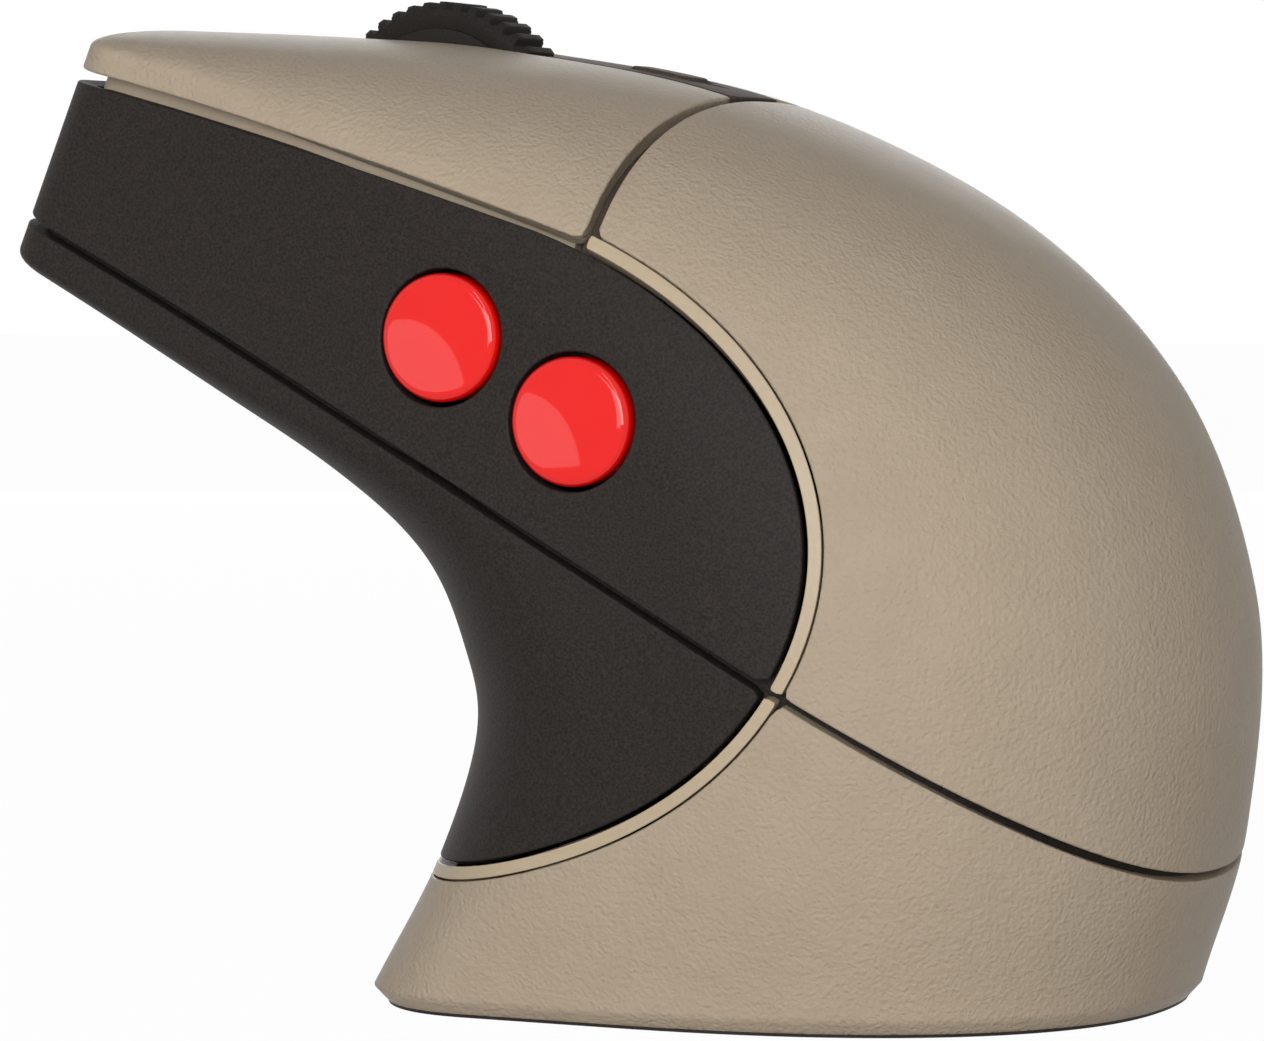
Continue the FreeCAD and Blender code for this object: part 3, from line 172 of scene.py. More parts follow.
# ---- Rear cover ----
# The large beige cover over the top rear, back and both flanks: ABS moulded in a leather-grained
# tool, with rolled edges along the parting line, the trim and the split behind the main buttons.
def leather_grain(name, low, high):
    """ABS moulded in a leather-grained tool.

    Shallow pebbles and creases, well under 1 mm across, break up a satin sheen. A slower noise bends
    both, so that they don't line up, and patches some millimetres wide differ a little in colour.
    """
    pebble, crease, bend_span, bend, relief, patch = 0.42, 0.3, 2.4, 0.9, 0.11, 6.0     # in mm
    material, tree = new_material(name)
    place = add(tree, "ShaderNodeTexCoord")
    shift = add(tree, "ShaderNodeTexNoise", {
        "Vector": place.outputs["Object"], "Scale": 1 / (bend_span * MM), "Detail": 2.0})
    warp = add(tree, "ShaderNodeVectorMath", {
        0: shift.outputs["Color"], 1: (bend * MM, bend * MM, bend * MM)}, operation="MULTIPLY")
    bent = add(tree, "ShaderNodeVectorMath", {
        0: place.outputs["Object"], 1: warp.outputs[0]}, operation="ADD")
    pebbles = add(tree, "ShaderNodeTexVoronoi", {
        "Vector": bent.outputs[0], "Scale": 1 / (pebble * MM)}, feature="SMOOTH_F1")
    creases = add(tree, "ShaderNodeTexNoise", {
        "Vector": bent.outputs[0], "Scale": 1 / (crease * MM), "Detail": 3.0, "Roughness": 0.6})
    height = add(tree, "ShaderNodeMath", {
        0: pebbles.outputs["Distance"], 1: creases.outputs["Fac"]}, operation="ADD")
    bump = add(tree, "ShaderNodeBump", {
        "Height": height.outputs[0], "Strength": 1.0, "Distance": relief * MM})
    patches = add(tree, "ShaderNodeTexNoise", {
        "Vector": place.outputs["Object"], "Scale": 1 / (patch * MM), "Detail": 4.0, "Roughness": 0.6})
    ramp = add(tree, "ShaderNodeValToRGB", {"Fac": patches.outputs["Fac"]})
    for stop, position, colour in zip(ramp.color_ramp.elements, (0.3, 0.7), (low, high)):
        stop.position, stop.color = position, linear(colour)
    surface = add(tree, "ShaderNodeBsdfPrincipled", {
        "Base Color": ramp.outputs["Color"], "Normal": bump.outputs["Normal"], "Roughness": 0.4,
        "Specular IOR Level": 0.08})
    add(tree, "ShaderNodeOutputMaterial", {"Surface": surface.outputs[0]})
    return material


# The outer form that every skin is cut from, in mm. Each cross-section of the hull stands on a
# straight side-view line from the underside to the top or back. Columns: place along the sweep,
# underside X and Z, top X and Z, half width, underside rounding depth and power, top rounding depth
# and power.
HULL = np.array([
    (0.00, -51.6, 62.0, -42.8, 83.6, 28.0, 3.0, 2.3, 2.0, 2.4),
    (0.12, -42.0, 56.8, -29.2, 82.9, 29.3, 3.5, 2.3, 5.5, 2.4),
    (0.24, -30.6, 50.0, -13.1, 81.5, 31.0, 5.0, 2.3, 12.0, 2.4),
    (0.36, -20.6, 43.3, 8.8, 77.0, 32.6, 8.0, 2.3, 19.0, 2.3),
    (0.48, -14.5, 36.4, 29.9, 67.0, 33.6, 14.0, 2.3, 27.0, 2.2),
    (0.60, -12.1, 29.4, 44.5, 52.9, 33.9, 18.0, 2.3, 33.0, 2.15),
    (0.72, -11.7, 23.2, 51.3, 35.2, 33.6, 20.0, 2.3, 35.0, 2.15),
    (0.86, -15.6, 12.4, 50.9, 15.6, 32.2, 20.0, 2.4, 37.0, 2.2),
    (1.00, -21.1, 1.7, 47.0, 1.7, 30.0, 16.0, 2.6, 40.0, 2.3),
])
NOSE_SWEEP = 0.0103      # share of the sweep for each mm behind the nose front
NOSE_CORNER = 4.0        # upright corner radius of the nose front
NOSE_EDGE = 0.9          # roll-over radius round the nose front
LOW_ROUNDED = 0.35       # share of a half section that the underside's rounding takes
TOP_ROUNDED = 0.5        # share after which the top's rounding begins
LEAST_ROUNDING = 0.8     # least rounding depth of a sunk section
LEAST_CORNER = 0.6       # least nose corner and edge radii of a sunk hull
LEAST_EDGE = 0.1
FOOT_INSET = np.array([0.33, 0.66, 1.0, 1.15, 1.9])     # the foot's chamfer, then flat under the rim
FOOT_DROP = np.array([0.37, 0.73, 1.1, 1.1, 1.1])
SWEEP_ROWS = 236         # rows and columns of the hull's grid, about half a millimetre apart
RING_COLUMNS = 232
WALL = 1.7               # thickness of the moulded shells
PART_GAP = 0.7           # width of the groove along the parting line
SPLIT_GAP = 1.0          # width of the groove behind the main buttons
TRIM_WIDTH = 1.05        # width of the trim strips
TRIM_FIT = 0.15          # gap between a strip and the shell beside it


def hull_columns(t):
    """Hull columns at places t: a cubic between the two nearest rows, with weighted mean slopes."""
    place, value = HULL[:, 0], HULL[:, 1:]
    step = np.diff(place)[:, None]
    rate = np.diff(value, axis=0) / step
    inner = (rate[:-1] * step[1:] + rate[1:] * step[:-1]) / (step[:-1] + step[1:])
    slope = np.vstack([rate[:1], inner, rate[-1:]])
    row = np.clip(np.searchsorted(place, t) - 1, 0, len(place) - 2)
    u = ((t - place[row]) / step[row, 0])[..., None]
    rise = value[row] * (1 + 2 * u) * (1 - u) ** 2 + value[row + 1] * u * u * (3 - 2 * u)
    return rise + step[row] * (slope[row] * u * (1 - u) ** 2 + slope[row + 1] * u * u * (u - 1))


def hull_point(t, depth, narrow, fall, scale, share):
    """Point on the hull sunk by depth, in mm.

    t is the place along the sweep. share runs 0..1 from the underside's middle round the thumb side to
    the top's middle, and 1..2 back on the far side: a power curve from the underside, a straight side,
    and a power curve to the top. narrow takes off half width, fall lowers, and scale draws the section
    towards its own centre, which closes the nose front.
    """
    x0, z0, x1, z1, half, low, low_power, top, top_power = np.moveaxis(hull_columns(t), -1, 0)
    length = np.hypot(x1 - x0, z1 - z0)
    along_x, along_z = (x1 - x0) / length, (z1 - z0) / length
    length = length - 2 * depth
    half = half - depth - narrow
    low, top = np.maximum(low - depth, LEAST_ROUNDING), np.maximum(top - depth, LEAST_ROUNDING)
    way = np.where(share > 1, 2 - share, share)
    q0 = np.clip(way / LOW_ROUNDED, 0, 1) * np.pi / 2
    q1 = np.clip((way - TOP_ROUNDED) / (1 - TOP_ROUNDED), 0, 1) * np.pi / 2
    middle = np.clip((way - LOW_ROUNDED) / (TOP_ROUNDED - LOW_ROUNDED), 0, 1)
    y0 = np.sin(q0) ** (2 / low_power)
    y1 = np.maximum(np.cos(q1), 0) ** (2 / top_power)
    s0 = low * (1 - np.maximum(np.cos(q0), 0) ** (2 / low_power))
    s1 = length - top + top * np.sin(q1) ** (2 / top_power)
    below, above = way < LOW_ROUNDED, way > TOP_ROUNDED
    y = half * np.where(below, y0, np.where(above, y1, 1.0)) * scale
    s = np.where(below, s0, np.where(above, s1, low + (length - top - low) * middle))
    s = depth + length / 2 + (s - length / 2) * scale
    return np.stack([x0 + along_x * s, np.where(share > 1, y, -y), z0 + along_z * s - fall], -1)


def hull_rows(sunk, finer):
    """Rows of the hull's grid sunk by a depth, and how many of them make the flat nose front.

    The nose front is drawn out of a point. Its upright corners are quarter circles, narrowing the
    section, and its edge is a smaller one all round. The sweep follows, and at the foot the section
    is drawn in by a chamfer and then goes in flat under the rim.
    """
    corner, edge = max(NOSE_CORNER - sunk, LEAST_CORNER), max(NOSE_EDGE - sunk, LEAST_EDGE)
    back_off = np.concatenate([
        edge * (1 - np.cos(np.linspace(0, np.pi / 2, 8))),
        corner - (corner - edge) * np.cos(np.linspace(0, np.pi / 2, 12)[1:])])
    rolled = edge - np.sqrt(np.maximum(edge ** 2 - np.maximum(edge - back_off, 0) ** 2, 0))
    cornered = corner - np.sqrt(corner ** 2 - (corner - back_off) ** 2)
    narrowed = np.maximum(cornered - rolled, 0)
    cap = np.linspace(0, 1, 22)[:-1]
    sweep = np.linspace((sunk + corner) * NOSE_SWEEP, 1, SWEEP_ROWS * finer)[1:]
    foot = np.zeros_like(FOOT_INSET)
    t = np.concatenate([cap * 0 + sunk * NOSE_SWEEP, (sunk + back_off) * NOSE_SWEEP, sweep, foot + 1])
    depth = sunk + np.concatenate([cap * 0 + edge, rolled, sweep * 0, FOOT_INSET])
    narrow = np.concatenate([cap * 0 + narrowed[0], narrowed, sweep * 0, foot])
    fall = np.concatenate([np.zeros(len(t) - len(FOOT_DROP)), FOOT_DROP])
    scale = np.concatenate([cap, np.ones(len(t) - len(cap))])
    return [row[:, None] for row in (t, depth, narrow, fall, scale)], len(cap)


def ring_sheet(points, cap=0):
    """Normals and triangles of a grid whose columns close into a ring.

    The normal is the direction down the rows crossed with the direction along the ring. The first cap
    rows are flat and share one normal, and a row drawn into a point makes a pole.
    """
    rows, columns = points.shape[:2]
    normals = np.cross(np.gradient(points, axis=0), np.roll(points, -1, 1) - np.roll(points, 1, 1))
    if cap:
        normals[:cap] = normals[cap - 1].mean(0)
    normals /= np.maximum(np.linalg.norm(normals, axis=-1, keepdims=True), 1e-12)
    i, j = np.meshgrid(np.arange(rows - 1), np.arange(columns), indexing="ij")
    a, b = i * columns + j, i * columns + (j + 1) % columns
    c, d = b + columns, a + columns
    faces = np.concatenate([
        np.stack([a, c, b], -1).reshape(-1, 3), np.stack([a, d, c], -1).reshape(-1, 3)])
    points, normals = points.reshape(-1, 3), normals.reshape(-1, 3)
    first, second, third = points[faces].swapaxes(0, 1)
    has_area = np.linalg.norm(np.cross(second - first, third - first), axis=1) > 1e-9
    return points, normals, faces[has_area]


GRIDS = {}


def hull_grid(sunk, finer):
    """Points, normals and triangles of the whole hull sunk by a depth, kept for the next piece."""
    if (sunk, finer) not in GRIDS:
        rows, cap = hull_rows(sunk, finer)
        around = RING_COLUMNS * finer
        share = np.arange(around)[None, :] * 2 / around
        GRIDS[sunk, finer] = ring_sheet(hull_point(*rows, share), cap)
    return GRIDS[sunk, finer]


def rounded(radius, *distances):
    """Distance inside several borders at once, with the corners between them rounded to a radius."""
    corner = np.sqrt(sum(np.maximum(radius - distance, 0) ** 2 for distance in distances))
    return radius - corner + np.maximum(np.minimum.reduce(distances) - radius, 0)


def panel(inside, roll, sunk=0.0, wall=WALL, steps=4, finer=1):
    """Piece of the hull, sunk by a depth, where inside, a distance in mm from its border, is above zero.

    The skin is cut where the distance is one roll radius, so the quarter circle that turns the edge
    down, in a number of steps, ends on the border. A straight wall goes on below it to the shell's
    thickness. Triangles across the cut keep one corner or two, and new points stand on their sides
    where the distance passes the radius. finer multiplies the grid's rows and columns.
    """
    points, normals, faces = hull_grid(sunk, finer)
    level = inside(*points.T)
    near = np.abs(level) < 6 * roll + 2
    probe = 0.01
    slope = np.zeros_like(points)
    for axis, step in enumerate(np.eye(3) * probe):
        rise = inside(*(points[near] + step).T) - inside(*(points[near] - step).T)
        slope[near, axis] = rise / (2 * probe)
    slope -= normals * (slope * normals).sum(1, keepdims=True)
    level = level - roll * np.linalg.norm(slope, axis=1)
    kept = level[faces] > 0
    count = kept.sum(1)
    one, two = faces[count == 1], faces[count == 2]
    one = np.take_along_axis(one, (kept[count == 1].argmax(1)[:, None] + np.arange(3)) % 3, 1)
    two = np.take_along_axis(two, (kept[count == 2].argmin(1)[:, None] + np.arange(3)) % 3, 1)
    cut = np.concatenate([one[:, [0, 1]], one[:, [0, 2]], two[:, [0, 1]], two[:, [0, 2]]])
    edges, place = np.unique(np.sort(cut, 1), axis=0, return_inverse=True)
    first, last = edges.T
    part = (level[first] / (level[first] - level[last]))[:, None]
    border = points[first] * (1 - part) + points[last] * part
    upright = normals[first] * (1 - part) + normals[last] * part
    upright /= np.linalg.norm(upright, axis=1, keepdims=True)
    outward = -(slope[first] * (1 - part) + slope[last] * part)
    outward -= upright * (outward * upright).sum(1, keepdims=True)
    outward /= np.maximum(np.linalg.norm(outward, axis=1, keepdims=True), 1e-9)
    p, q, r, s = np.split(place.ravel() + len(points), np.cumsum([len(one), len(one), len(two)]))
    made = [faces[count == 3], np.stack([one[:, 0], p, q], 1),
            np.stack([r, two[:, 1], two[:, 2]], 1), np.stack([r, two[:, 2], s], 1)]
    rim = np.concatenate([np.stack([p, q], 1), np.stack([s, r], 1)])
    all_points, all_normals = [points, border], [normals, upright]
    for turn in np.linspace(0, np.pi / 2, steps + 1)[1:]:
        all_points.append(border + (outward * math.sin(turn) - upright * (1 - math.cos(turn))) * roll)
        all_normals.append(upright * math.cos(turn) + outward * math.sin(turn))
    all_points.append(border + outward * roll - upright * wall)
    all_normals.append(outward)
    for _ in range(steps + 1):
        below = rim + len(border)
        made += [np.stack([rim[:, 1], rim[:, 0], below[:, 0]], 1),
                 np.stack([rim[:, 1], below[:, 0], below[:, 1]], 1)]
        rim = below
    faces = np.concatenate(made)
    used, faces = np.unique(faces, return_inverse=True)
    return np.concatenate(all_points)[used], np.concatenate(all_normals)[used], faces.reshape(-1, 3)


def make_piece(name, surface, material, slot, body, *stands_for):
    """Object on a body from a surface's points in mm, normals and faces, in place of any CAD nodes."""
    points, normals, faces = surface
    mesh = bpy.data.meshes.new(name)
    mesh.from_pydata((points * MM).tolist(), [], faces.tolist())
    mesh.polygons.foreach_set("use_smooth", np.ones(len(mesh.polygons), bool))
    mesh.normals_split_custom_set_from_vertices(normals.tolist())
    mesh.materials.append(material)
    piece = bpy.data.objects.new(name, mesh)
    bpy.context.scene.collection.objects.link(piece)
    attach(piece, body)
    if stands_for:
        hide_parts(*stands_for)


def arc_side(points):
    """Distance above the side-view arc through three points, as a function of X and Z."""
    (ax, ay), (bx, by), (cx, cy) = points
    d = 2 * (ax * (by - cy) + bx * (cy - ay) + cx * (ay - by))
    a, b, c = ax * ax + ay * ay, bx * bx + by * by, cx * cx + cy * cy
    x = (a * (by - cy) + b * (cy - ay) + c * (ay - by)) / d
    z = (a * (cx - bx) + b * (ax - cx) + c * (bx - ax)) / d
    radius = math.hypot(ax - x, ay - z)
    return lambda px, pz: np.hypot(px - x, pz - z) - radius


# The parting line runs from under the nose front through the waist to the lower back. Its points, like
# those of the other arcs, are X and Z in side view.
PARTING_ARC = ((-46.6, 65.9), (0.0, 42.0), (48.3, 13.3))
above_parting = arc_side(PARTING_ARC)
SPLIT_FOOT = (6.5, 64.2)         # X and Z at the foot of the split, which leans back by 2.1 in 12.8
SPLIT_LEAN = 2.1 / 12.8
TRIM_CENTRE = (-16.4, 41.1)      # X and Z of the trim ellipse's centre
TRIM_LONG, TRIM_SHORT = 42.8, 28.5
TRIM_TILT = math.radians(-4.1)
SHELL_CORNER = 0.3               # corner radius and edge roll of the body's shells
SHELL_ROLL = 0.2
FAR = 9.0                        # distance that stands for nowhere near a border


def behind_split(x, z):
    """Distance behind the straight line between the main buttons and the rear cover."""
    return x - SPLIT_FOOT[0] - (z - SPLIT_FOOT[1]) * SPLIT_LEAN


def beyond_trim(x, z):
    """Distance outside the trim line: a tilted ellipse, level ahead of its lowest point.

    Over the nose, where the line has no branch, every point counts as deep inside.
    """
    deep, nose_end = -5.0, 2.0
    x0, z0 = x - TRIM_CENTRE[0], z - TRIM_CENTRE[1]
    u = x0 * math.cos(TRIM_TILT) + z0 * math.sin(TRIM_TILT)
    v = z0 * math.cos(TRIM_TILT) - x0 * math.sin(TRIM_TILT)
    share = np.maximum(np.hypot(u / TRIM_LONG, v / TRIM_SHORT), 1e-6)
    steepness = np.maximum(np.hypot(u / TRIM_LONG ** 2, v / TRIM_SHORT ** 2), 1e-9)
    curved = (share - 1) * share / steepness
    level = -TRIM_SHORT * math.cos(TRIM_TILT) - z0
    ahead = np.where(v < 0, level, deep)
    return np.where(u < 0, ahead, np.where((x < nose_end) & (v > 0), deep, curved))


def cover_area(x, y, z):
    """Inside the rear cover's border."""
    return rounded(
        SHELL_CORNER, above_parting(x, z) - PART_GAP / 2,
        beyond_trim(x, z) - TRIM_WIDTH - TRIM_FIT, behind_split(x, z) - SPLIT_GAP / 2)


beige = leather_grain("beige_leather_grained_abs", "B0A08C", "B5A591")
make_piece("cover_skin", panel(cover_area, SHELL_ROLL), beige, "beige_shell", "body", "rear_cover")


# ---- Main buttons ----
# The two halves of the nose top: ABS shells like the cover's, each hinged at its rear edge. The front
# ends are rolled over, and the lower edge hangs free over the frame's ledge.
BUTTON_ARC = ((-42.3, 79.4), (-20.1, 73.5), (5.5, 65.2))     # the lower edge, nose front to split
BUTTON_INNER = 5.4       # distance of a button's inner side from the middle plane
BUTTON_CORNER = 0.4
BUTTON_ROLL = 0.25
button_edge = arc_side(BUTTON_ARC)


def button_area(side):
    """Inside one main button's border, side being -1 for the thumb side."""
    return lambda x, y, z: rounded(
        BUTTON_CORNER, button_edge(x, z), -behind_split(x, z) - SPLIT_GAP / 2, side * y - BUTTON_INNER)


for name, side in (("left_button", -1), ("right_button", 1)):
    make_piece(
        name + "_skin", panel(button_area(side), BUTTON_ROLL), beige, "beige_shell", name, name)


# ---- Centre spine, sensitivity button and wheel slot ----
# A dark brown ABS strip fixed between the main buttons, with sharp-cut openings for the wheel, the
# small button and the light pipe. A step in the same dark brown closes the split groove from below; the
# real lip there is the beige of the cover, so the step's dark brown is painted shade.
SPINE_HALF = 5.0
SPINE_CORNER = 0.5
WHEEL_X = -21.35
WHEEL_SLOT = (WHEEL_X, 11.7, 3.8)    # centre X, half length and half width of each opening
LIGHT_SLOT = (4.6, 0.85, 0.45)
DPI_X, DPI_HALF_LONG, DPI_HALF_WIDE = 0.0, 3.0, 2.2
DPI_FIT = 0.15                       # gap round the small button
DPI_SLOT = (DPI_X, DPI_HALF_LONG + DPI_FIT, DPI_HALF_WIDE + DPI_FIT)
DPI_PROUD = 0.3                      # height of the small button over the strip
DPI_DEPTH = 2.2
DPI_ROLL = 0.35
TOP_ABOVE = 70.0                     # only the hull's top is higher
STEP_AHEAD, STEP_BEHIND = 1.1, 1.7   # reach of the step to both sides of the split
STEP_BELOW = 1.6                     # and past the buttons' lower edge
LIP_DEPTH = 1.85                     # the lips behind the grooves are thin and all but sharp
LIP_ROLL, LIP_WALL = 0.02, 0.5


def sand_grain(name, low, high, grain, relief, roughness, specular=0.5):
    """Spark-eroded moulded plastic: a fine random grain, in relief and in colour.

    grain and relief are in mm, and the grain is drawn as coarse as it needs to show.
    """
    material, tree = new_material(name)
    place = add(tree, "ShaderNodeTexCoord")
    noise = add(tree, "ShaderNodeTexNoise", {
        "Vector": place.outputs["Object"], "Scale": 1 / (grain * MM), "Detail": 2.0, "Roughness": 0.55})
    ramp = add(tree, "ShaderNodeValToRGB", {"Fac": noise.outputs["Fac"]})
    for stop, position, colour in zip(ramp.color_ramp.elements, (0.35, 0.65), (low, high)):
        stop.position, stop.color = position, linear(colour)
    bump = add(tree, "ShaderNodeBump", {
        "Height": noise.outputs["Fac"], "Strength": 1.0, "Distance": relief * MM})
    surface = add(tree, "ShaderNodeBsdfPrincipled", {
        "Base Color": ramp.outputs["Color"], "Normal": bump.outputs["Normal"], "Roughness": roughness,
        "Specular IOR Level": specular})
    add(tree, "ShaderNodeOutputMaterial", {"Surface": surface.outputs[0]})
    return material


def outside_box(x, y, centre, half_x, half_y):
    """Distance outside an upright rectangle on the middle plane."""
    return np.maximum(np.abs(x - centre) - half_x, np.abs(y) - half_y)


def spine_area(x, y, z):
    """Inside the spine's border and clear of its three openings."""
    strip = rounded(
        SPINE_CORNER, button_edge(x, z), -behind_split(x, z) - SPLIT_GAP / 2, SPINE_HALF - np.abs(y))
    openings = [outside_box(x, y, *slot) for slot in (WHEEL_SLOT, DPI_SLOT, LIGHT_SLOT)]
    return np.minimum.reduce([strip] + openings)


def dpi_area(x, y, z):
    """Inside the small button's border, on the hull's top alone."""
    return np.where(z > TOP_ABOVE, -outside_box(x, y, DPI_X, DPI_HALF_LONG, DPI_HALF_WIDE), -FAR)


def step_area(x, y, z):
    """Inside the step's border, under both sides of the split groove and down over the ledge."""
    return np.minimum.reduce([
        behind_split(x, z) + STEP_AHEAD, STEP_BEHIND - behind_split(x, z), button_edge(x, z) + STEP_BELOW])


# Warm and dark, with next to no sheen.
brown = sand_grain("dark_brown_moulded_abs", "463C36", "544942", 0.22, 0.01, 0.6, 0.03)
make_piece("spine_skin", panel(spine_area, SHELL_ROLL), brown, "spine", "body", "center_spine")
# The split step's dark brown is painted shade in the split groove, where the real lip is beige.
make_piece("split_step_painted_shade", panel(step_area, LIP_ROLL, LIP_DEPTH, LIP_WALL, 1), brown, "spine", "body")
make_piece("dpi_cap", panel(dpi_area, DPI_ROLL, -DPI_PROUD, DPI_DEPTH), brown, "spine", "dpi", "dpi_button")


# ---- Black nose cowl ----
# Both side panels and the nose front in one ABS moulding with a fine sand grain, and two round holes
# with rolled edges for the thumb buttons.
PANEL_ARC = ((-41.7, 78.1), (-20.1, 72.4), (5.7, 64.5))
PANEL_TRIM_GAP = 0.4     # gap between the black panels and the trim
THUMBS = {"front": (-6.1, 56.9), "rear": (6.1, 50.2)}     # X and Z of each thumb button's centre
THUMB_RADIUS = 5.3
THUMB_FIT = 0.4          # gap round a thumb button
above_panel = arc_side(PANEL_ARC)


def cowl_area(x, y, z):
    """Inside the cowl's border and clear of the two thumb holes."""
    top = np.minimum(-above_panel(x, z), -beyond_trim(x, z) - PANEL_TRIM_GAP)
    body = rounded(SHELL_CORNER, top, above_parting(x, z) - PART_GAP / 2)
    for hole_x, hole_z in THUMBS.values():
        hole = np.hypot(x - hole_x, z - hole_z) - THUMB_RADIUS - THUMB_FIT
        body = np.minimum(body, np.where(y < 0, hole, FAR))
    return body


# Near black and matt, with a slight sparkle of paler grain.
black = sand_grain("black_sand_grained_abs", "191513", "302A27", 0.22, 0.03, 0.6, 0.15)
make_piece("cowl_skin", panel(cowl_area, SHELL_ROLL), black, "black_shell", "body", "nose_cowl")


# ---- Black neck ----
# The underside of the nose and the column, in the cowl's plastic. A black lip behind the parting line
# stands up inside the cowl and closes the groove. It runs all the way round. Along the cowl its black is
# the neck's own plastic, and between the beige cover and the beige base, whose real lip is beige, its
# black is painted shade.
LIP_BELOW, LIP_ABOVE = 1.5, 2.2      # reach of the lip to both sides of the parting line


def neck_area(x, y, z):
    """Inside the neck's border."""
    return rounded(
        SHELL_CORNER, -above_parting(x, z) - PART_GAP / 2, -beyond_trim(x, z) - PANEL_TRIM_GAP)


def lip_area(x, y, z):
    """Inside the lip's border, all the way round."""
    return np.minimum(above_parting(x, z) + LIP_BELOW, LIP_ABOVE - above_parting(x, z))


make_piece("neck_skin", panel(neck_area, SHELL_ROLL), black, "black_shell", "body", "neck_shell")
# The lip's black is the neck's plastic along the cowl, and painted shade between the beige cover and base.
make_piece("groove_lip_with_painted_shade", panel(lip_area, LIP_ROLL, LIP_DEPTH, LIP_WALL, 1), black, "black_shell", "body")


# ---- Beige base ----
# The foot of the mouse, in the cover's grained ABS, with a chamfer round its lower rim and a rounded
# opening in the toe for the charging port.
PORT_HEIGHT = 8.4
PORT_STRAIGHT = (2.95, 0.05)     # half lengths of the opening's straight sides, across and upright
PORT_CORNER = 1.8
TOE_BELOW = 20.0                 # the opening is in the toe alone


def base_area(x, y, z):
    """Inside the base's border and clear of the port opening, a box with rounded corners."""
    body = rounded(
        SHELL_CORNER, -above_parting(x, z) - PART_GAP / 2, beyond_trim(x, z) - TRIM_WIDTH - TRIM_FIT)
    across, up = np.abs(y) - PORT_STRAIGHT[0], np.abs(z - PORT_HEIGHT) - PORT_STRAIGHT[1]
    beyond = np.hypot(np.maximum(across, 0), np.maximum(up, 0))
    port = beyond + np.minimum(np.maximum(across, up), 0) - PORT_CORNER
    return np.minimum(body, np.where((x < 0) & (z < TOE_BELOW), port, FAR))


make_piece("base_skin", panel(base_area, SHELL_ROLL), beige, "beige_shell", "body", "base_shell")


# ---- Trim strips ----
# Slim smooth strips, paler than the shells, that frame the black panels: one behind each flank's split
# down to the parting line, and one round the foot of the column.
TRIM_CORNER = 0.15
TRIM_ROLL = 0.1


def trim_area(upper, side):
    """Inside a trim strip's border. An upper strip is on one side alone and ends at the split."""
    def area(x, y, z):
        strip = np.minimum(beyond_trim(x, z), TRIM_WIDTH - beyond_trim(x, z))
        end = above_parting(x, z) if upper else -above_parting(x, z)
        strip = rounded(TRIM_CORNER, strip, end - PART_GAP / 2)
        return np.minimum(strip, np.minimum(behind_split(x, z), side * y)) if upper else strip
    return area


# Satin and almost even, so the strips look paler and crisper than the shells.
trim_finish = sand_grain("pale_beige_satin_abs", "BBA98F", "BFAD93", 0.8, 0.001, 0.4, 0.25)
for name, upper, side in (
        ("upper_trim_left", True, -1), ("upper_trim_right", True, 1), ("lower_trim", False, 0)):
    make_piece(
        name + "_skin", panel(trim_area(upper, side), TRIM_ROLL, steps=2, finer=3),
        trim_finish, "trim", "body", name)


# ---- Thumb buttons ----
# Two round caps moulded in polished red ABS, slightly crowned, with a small rolled rim, standing
# under a millimetre proud of the panel.
THUMB_RIM = 0.7
THUMB_CROWN = 0.35
THUMB_PROUD = 0.4        # height of the rim over the panel
THUMB_WALL = 3.0         # depth of the cap's side
CAP_COLUMNS = 120


def half_width(x, z):
    """Half width of the hull at side-view points.

    Each point's place along the sweep is found by halving, and its section's power curve gives the width.
    """
    low, high = np.zeros_like(x), np.ones_like(x)
    for _ in range(30):
        t = (low + high) / 2
        x0, z0, x1, z1 = np.moveaxis(hull_columns(t)[..., :4], -1, 0)
        ahead = (x1 - x0) * (z - z0) - (z1 - z0) * (x - x0) < 0
        low, high = np.where(ahead, t, low), np.where(ahead, high, t)
    half, rounding, power = np.moveaxis(hull_columns(t)[..., 4:7], -1, 0)
    along = ((x - x0) * (x1 - x0) + (z - z0) * (z1 - z0)) / np.hypot(x1 - x0, z1 - z0)
    return half * (1 - np.clip(1 - along / rounding, 0, 1) ** power) ** (1 / power)


def thumb_cap(centre):
    """Round cap upright on the flank: rings raised by a crown, a quarter-circle rim and a wall."""
    inner = THUMB_RADIUS - THUMB_RIM
    flat = np.linspace(0, inner, 18)
    turn = np.linspace(0, np.pi / 2, 11)[1:]
    out = np.concatenate([flat, inner + THUMB_RIM * np.sin(turn), [THUMB_RADIUS]])[:, None]
    drop = np.concatenate([flat * 0, THUMB_RIM * (1 - np.cos(turn)), [THUMB_WALL]])[:, None]
    angle = np.arange(CAP_COLUMNS)[None, :] * 2 * np.pi / CAP_COLUMNS
    x, z = centre[0] + out * np.cos(angle), centre[1] + out * np.sin(angle)
    crown = THUMB_CROWN * (1 - (out / THUMB_RADIUS) ** 2)
    face = half_width(*(np.full(1, value) for value in centre)) + THUMB_PROUD
    return ring_sheet(np.stack([x, drop - face - crown + 0 * x, z], -1))


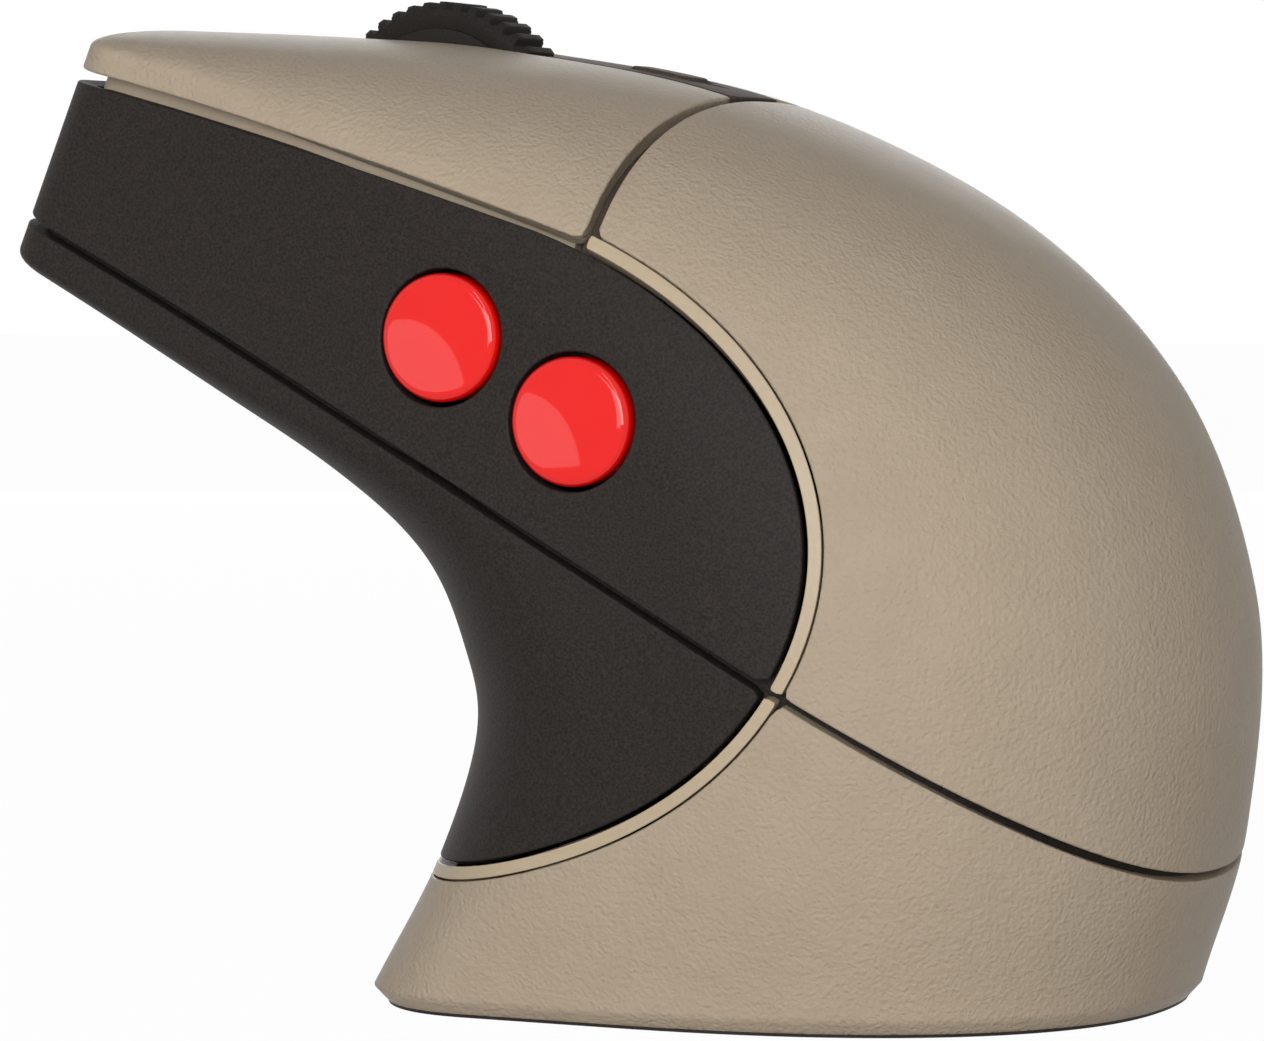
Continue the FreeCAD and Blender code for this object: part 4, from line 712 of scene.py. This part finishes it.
def polished(name, low, high, roughness, coat):
    """Plastic moulded in a polished tool: almost even colour, and a clear glossy skin."""
    wave, relief = 3.0, 0.004            # in mm: the skin's slight unevenness
    material, tree = new_material(name)
    place = add(tree, "ShaderNodeTexCoord")
    cloud = add(tree, "ShaderNodeTexNoise", {
        "Vector": place.outputs["Object"], "Scale": 1 / (wave * MM), "Detail": 2.0})
    ramp = add(tree, "ShaderNodeValToRGB", {"Fac": cloud.outputs["Fac"]})
    for stop, colour in zip(ramp.color_ramp.elements, (low, high)):
        stop.color = linear(colour)
    bump = add(tree, "ShaderNodeBump", {
        "Height": cloud.outputs["Fac"], "Strength": 0.2, "Distance": relief * MM})
    surface = add(tree, "ShaderNodeBsdfPrincipled", {
        "Base Color": ramp.outputs["Color"], "Normal": bump.outputs["Normal"], "Roughness": roughness,
        "Specular IOR Level": 0.0, "Coat Weight": coat, "Coat Roughness": 0.04, "Coat IOR": 1.4})
    add(tree, "ShaderNodeOutputMaterial", {"Surface": surface.outputs[0]})
    return material


# A deep, even red under a clear gloss that mirrors the round lamp.
red = polished("red_polished_abs", "F0100A", "F4140C", 0.25, 1.0)
for name, centre in THUMBS.items():
    make_piece(
        "thumb_cap_" + name, thumb_cap(centre), red, "red_button", "thumb_" + name,
        "thumb_button_" + name)


# ---- Scroll wheel ----
# A moulded rubber tyre with straight grip teeth, bevelled at both ends, stretched on a plastic hub that
# turns on a steel axle. The hub keeps its CAD form.
WHEEL_Z = 74.9
WHEEL_RADIUS = 11.1
WHEEL_HALF = 3.2         # half width of the tyre
TYRE_BORE = 8.7
TYRE_FACE = 9.9          # radius where the flat side face ends and the teeth begin
TEETH = 43
TOOTH_DEPTH = 0.8
TOOTH_TOP = 0.2          # half a tooth's top and one flank, as shares of the pitch
TOOTH_FLANK = 0.16
TOOTH_COLUMNS = 16


def grip_tyre():
    """Rubber tyre: half a profile, from the bore over the side face to the tread, and its mirror image.

    It is turned round the axle, and a wave of teeth with smooth flanks cuts its height beyond the face.
    """
    across = np.array([2.9, WHEEL_HALF, WHEEL_HALF, 3.05, 2.75, 2.4, 1.2])
    height = np.array([TYRE_BORE, TYRE_BORE + 0.05, TYRE_FACE, 10.3, 10.75, WHEEL_RADIUS, WHEEL_RADIUS])
    across = np.concatenate([-across, [0], across[::-1]])[:, None]
    height = np.concatenate([height, [WHEEL_RADIUS], height[::-1]])[:, None]
    angle = np.arange(TEETH * TOOTH_COLUMNS)[None, :] * 2 * np.pi / (TEETH * TOOTH_COLUMNS)
    phase = np.abs((angle * TEETH / (2 * np.pi)) % 1 - 0.5)
    valley = np.clip((phase - TOOTH_TOP) / TOOTH_FLANK, 0, 1)
    valley = valley * valley * (3 - 2 * valley)
    radius = np.where(height > TYRE_FACE, np.minimum(height, WHEEL_RADIUS - TOOTH_DEPTH * valley), height)
    x, z = WHEEL_X + radius * np.cos(angle), WHEEL_Z + radius * np.sin(angle)
    return ring_sheet(np.stack([x, across + 0 * angle, z], -1))


# Matt, and a little darker than the panels.
rubber = sand_grain("black_moulded_rubber", "1B1816", "272320", 0.2, 0.01, 0.7, 0.15)
make_piece("grip_tyre", grip_tyre(), rubber, "rubber", "wheel", "scroll_tyre")


# ---- Finishes of the pieces that keep their plain form ----
# Frame, hub, boards, switches, plate and the like: each node takes the finish of its material slot.
# Moulded parts are matt to satin with a fine grain, and metal parts have a faint tarnish.
def bare_metal(name, low, high, roughness):
    """Turned or stamped metal: even and bright, with a tarnish too fine to see as a pattern."""
    material = sand_grain(name, low, high, 0.12, 0.002, roughness)
    material.node_tree.nodes["Principled BSDF"].inputs["Metallic"].default_value = 1.0
    return material


FINISH = {
    "beige_shell": beige, "black_shell": black, "spine": brown, "trim": trim_finish,
    "red_button": red, "rubber": rubber,
    "beige_frame": sand_grain("beige_satin_abs", "AE9F8B", "B3A490", 0.3, 0.002, 0.5, 0.25),
    "dark_plastic": sand_grain("black_moulded_plastic", "1F1B19", "2A2522", 0.2, 0.008, 0.6, 0.15),
    "steel": bare_metal("turned_steel", "B0B0AE", "BCBCBA", 0.3),
    "board": sand_grain("green_solder_mask", "1B5434", "20603C", 0.6, 0.004, 0.35),
    "chip": sand_grain("black_epoxy_mould", "1A1A1C", "222224", 0.1, 0.003, 0.5),
    "switch_housing": sand_grain("blue_black_nylon", "222D36", "283440", 0.2, 0.004, 0.5),
    "plunger": sand_grain("orange_red_acetal", "D24329", "DA4C31", 0.2, 0.002, 0.4),
    "light_pipe": sand_grain("milky_light_pipe", "E2DCCD", "EAE5D8", 0.4, 0.001, 0.3),
    "skate": sand_grain("black_sliding_pad", "1B1B1B", "212121", 0.2, 0.003, 0.45),
    "clear_lens": polished("clear_acrylic_lens", "D2D9DB", "DAE1E3", 0.1, 0.5),
    "port_metal": bare_metal("stamped_tinned_steel", "A4A4A1", "B0B0AD", 0.28),
    "cell": bare_metal("cell_foil", "A2A5A7", "ADB0B2", 0.35),
    "cable": sand_grain("amber_cable_film", "C08627", "CB9234", 0.8, 0.001, 0.25),
    "white_plastic": sand_grain("ivory_nylon", "DFDCD5", "E8E5DE", 0.3, 0.002, 0.45),
}
for part in frame["record"]["subparts"]:
    mesh = nodes[part["node"]].data
    mesh.materials.clear()
    mesh.materials.append(FINISH[part["material_slot"]])
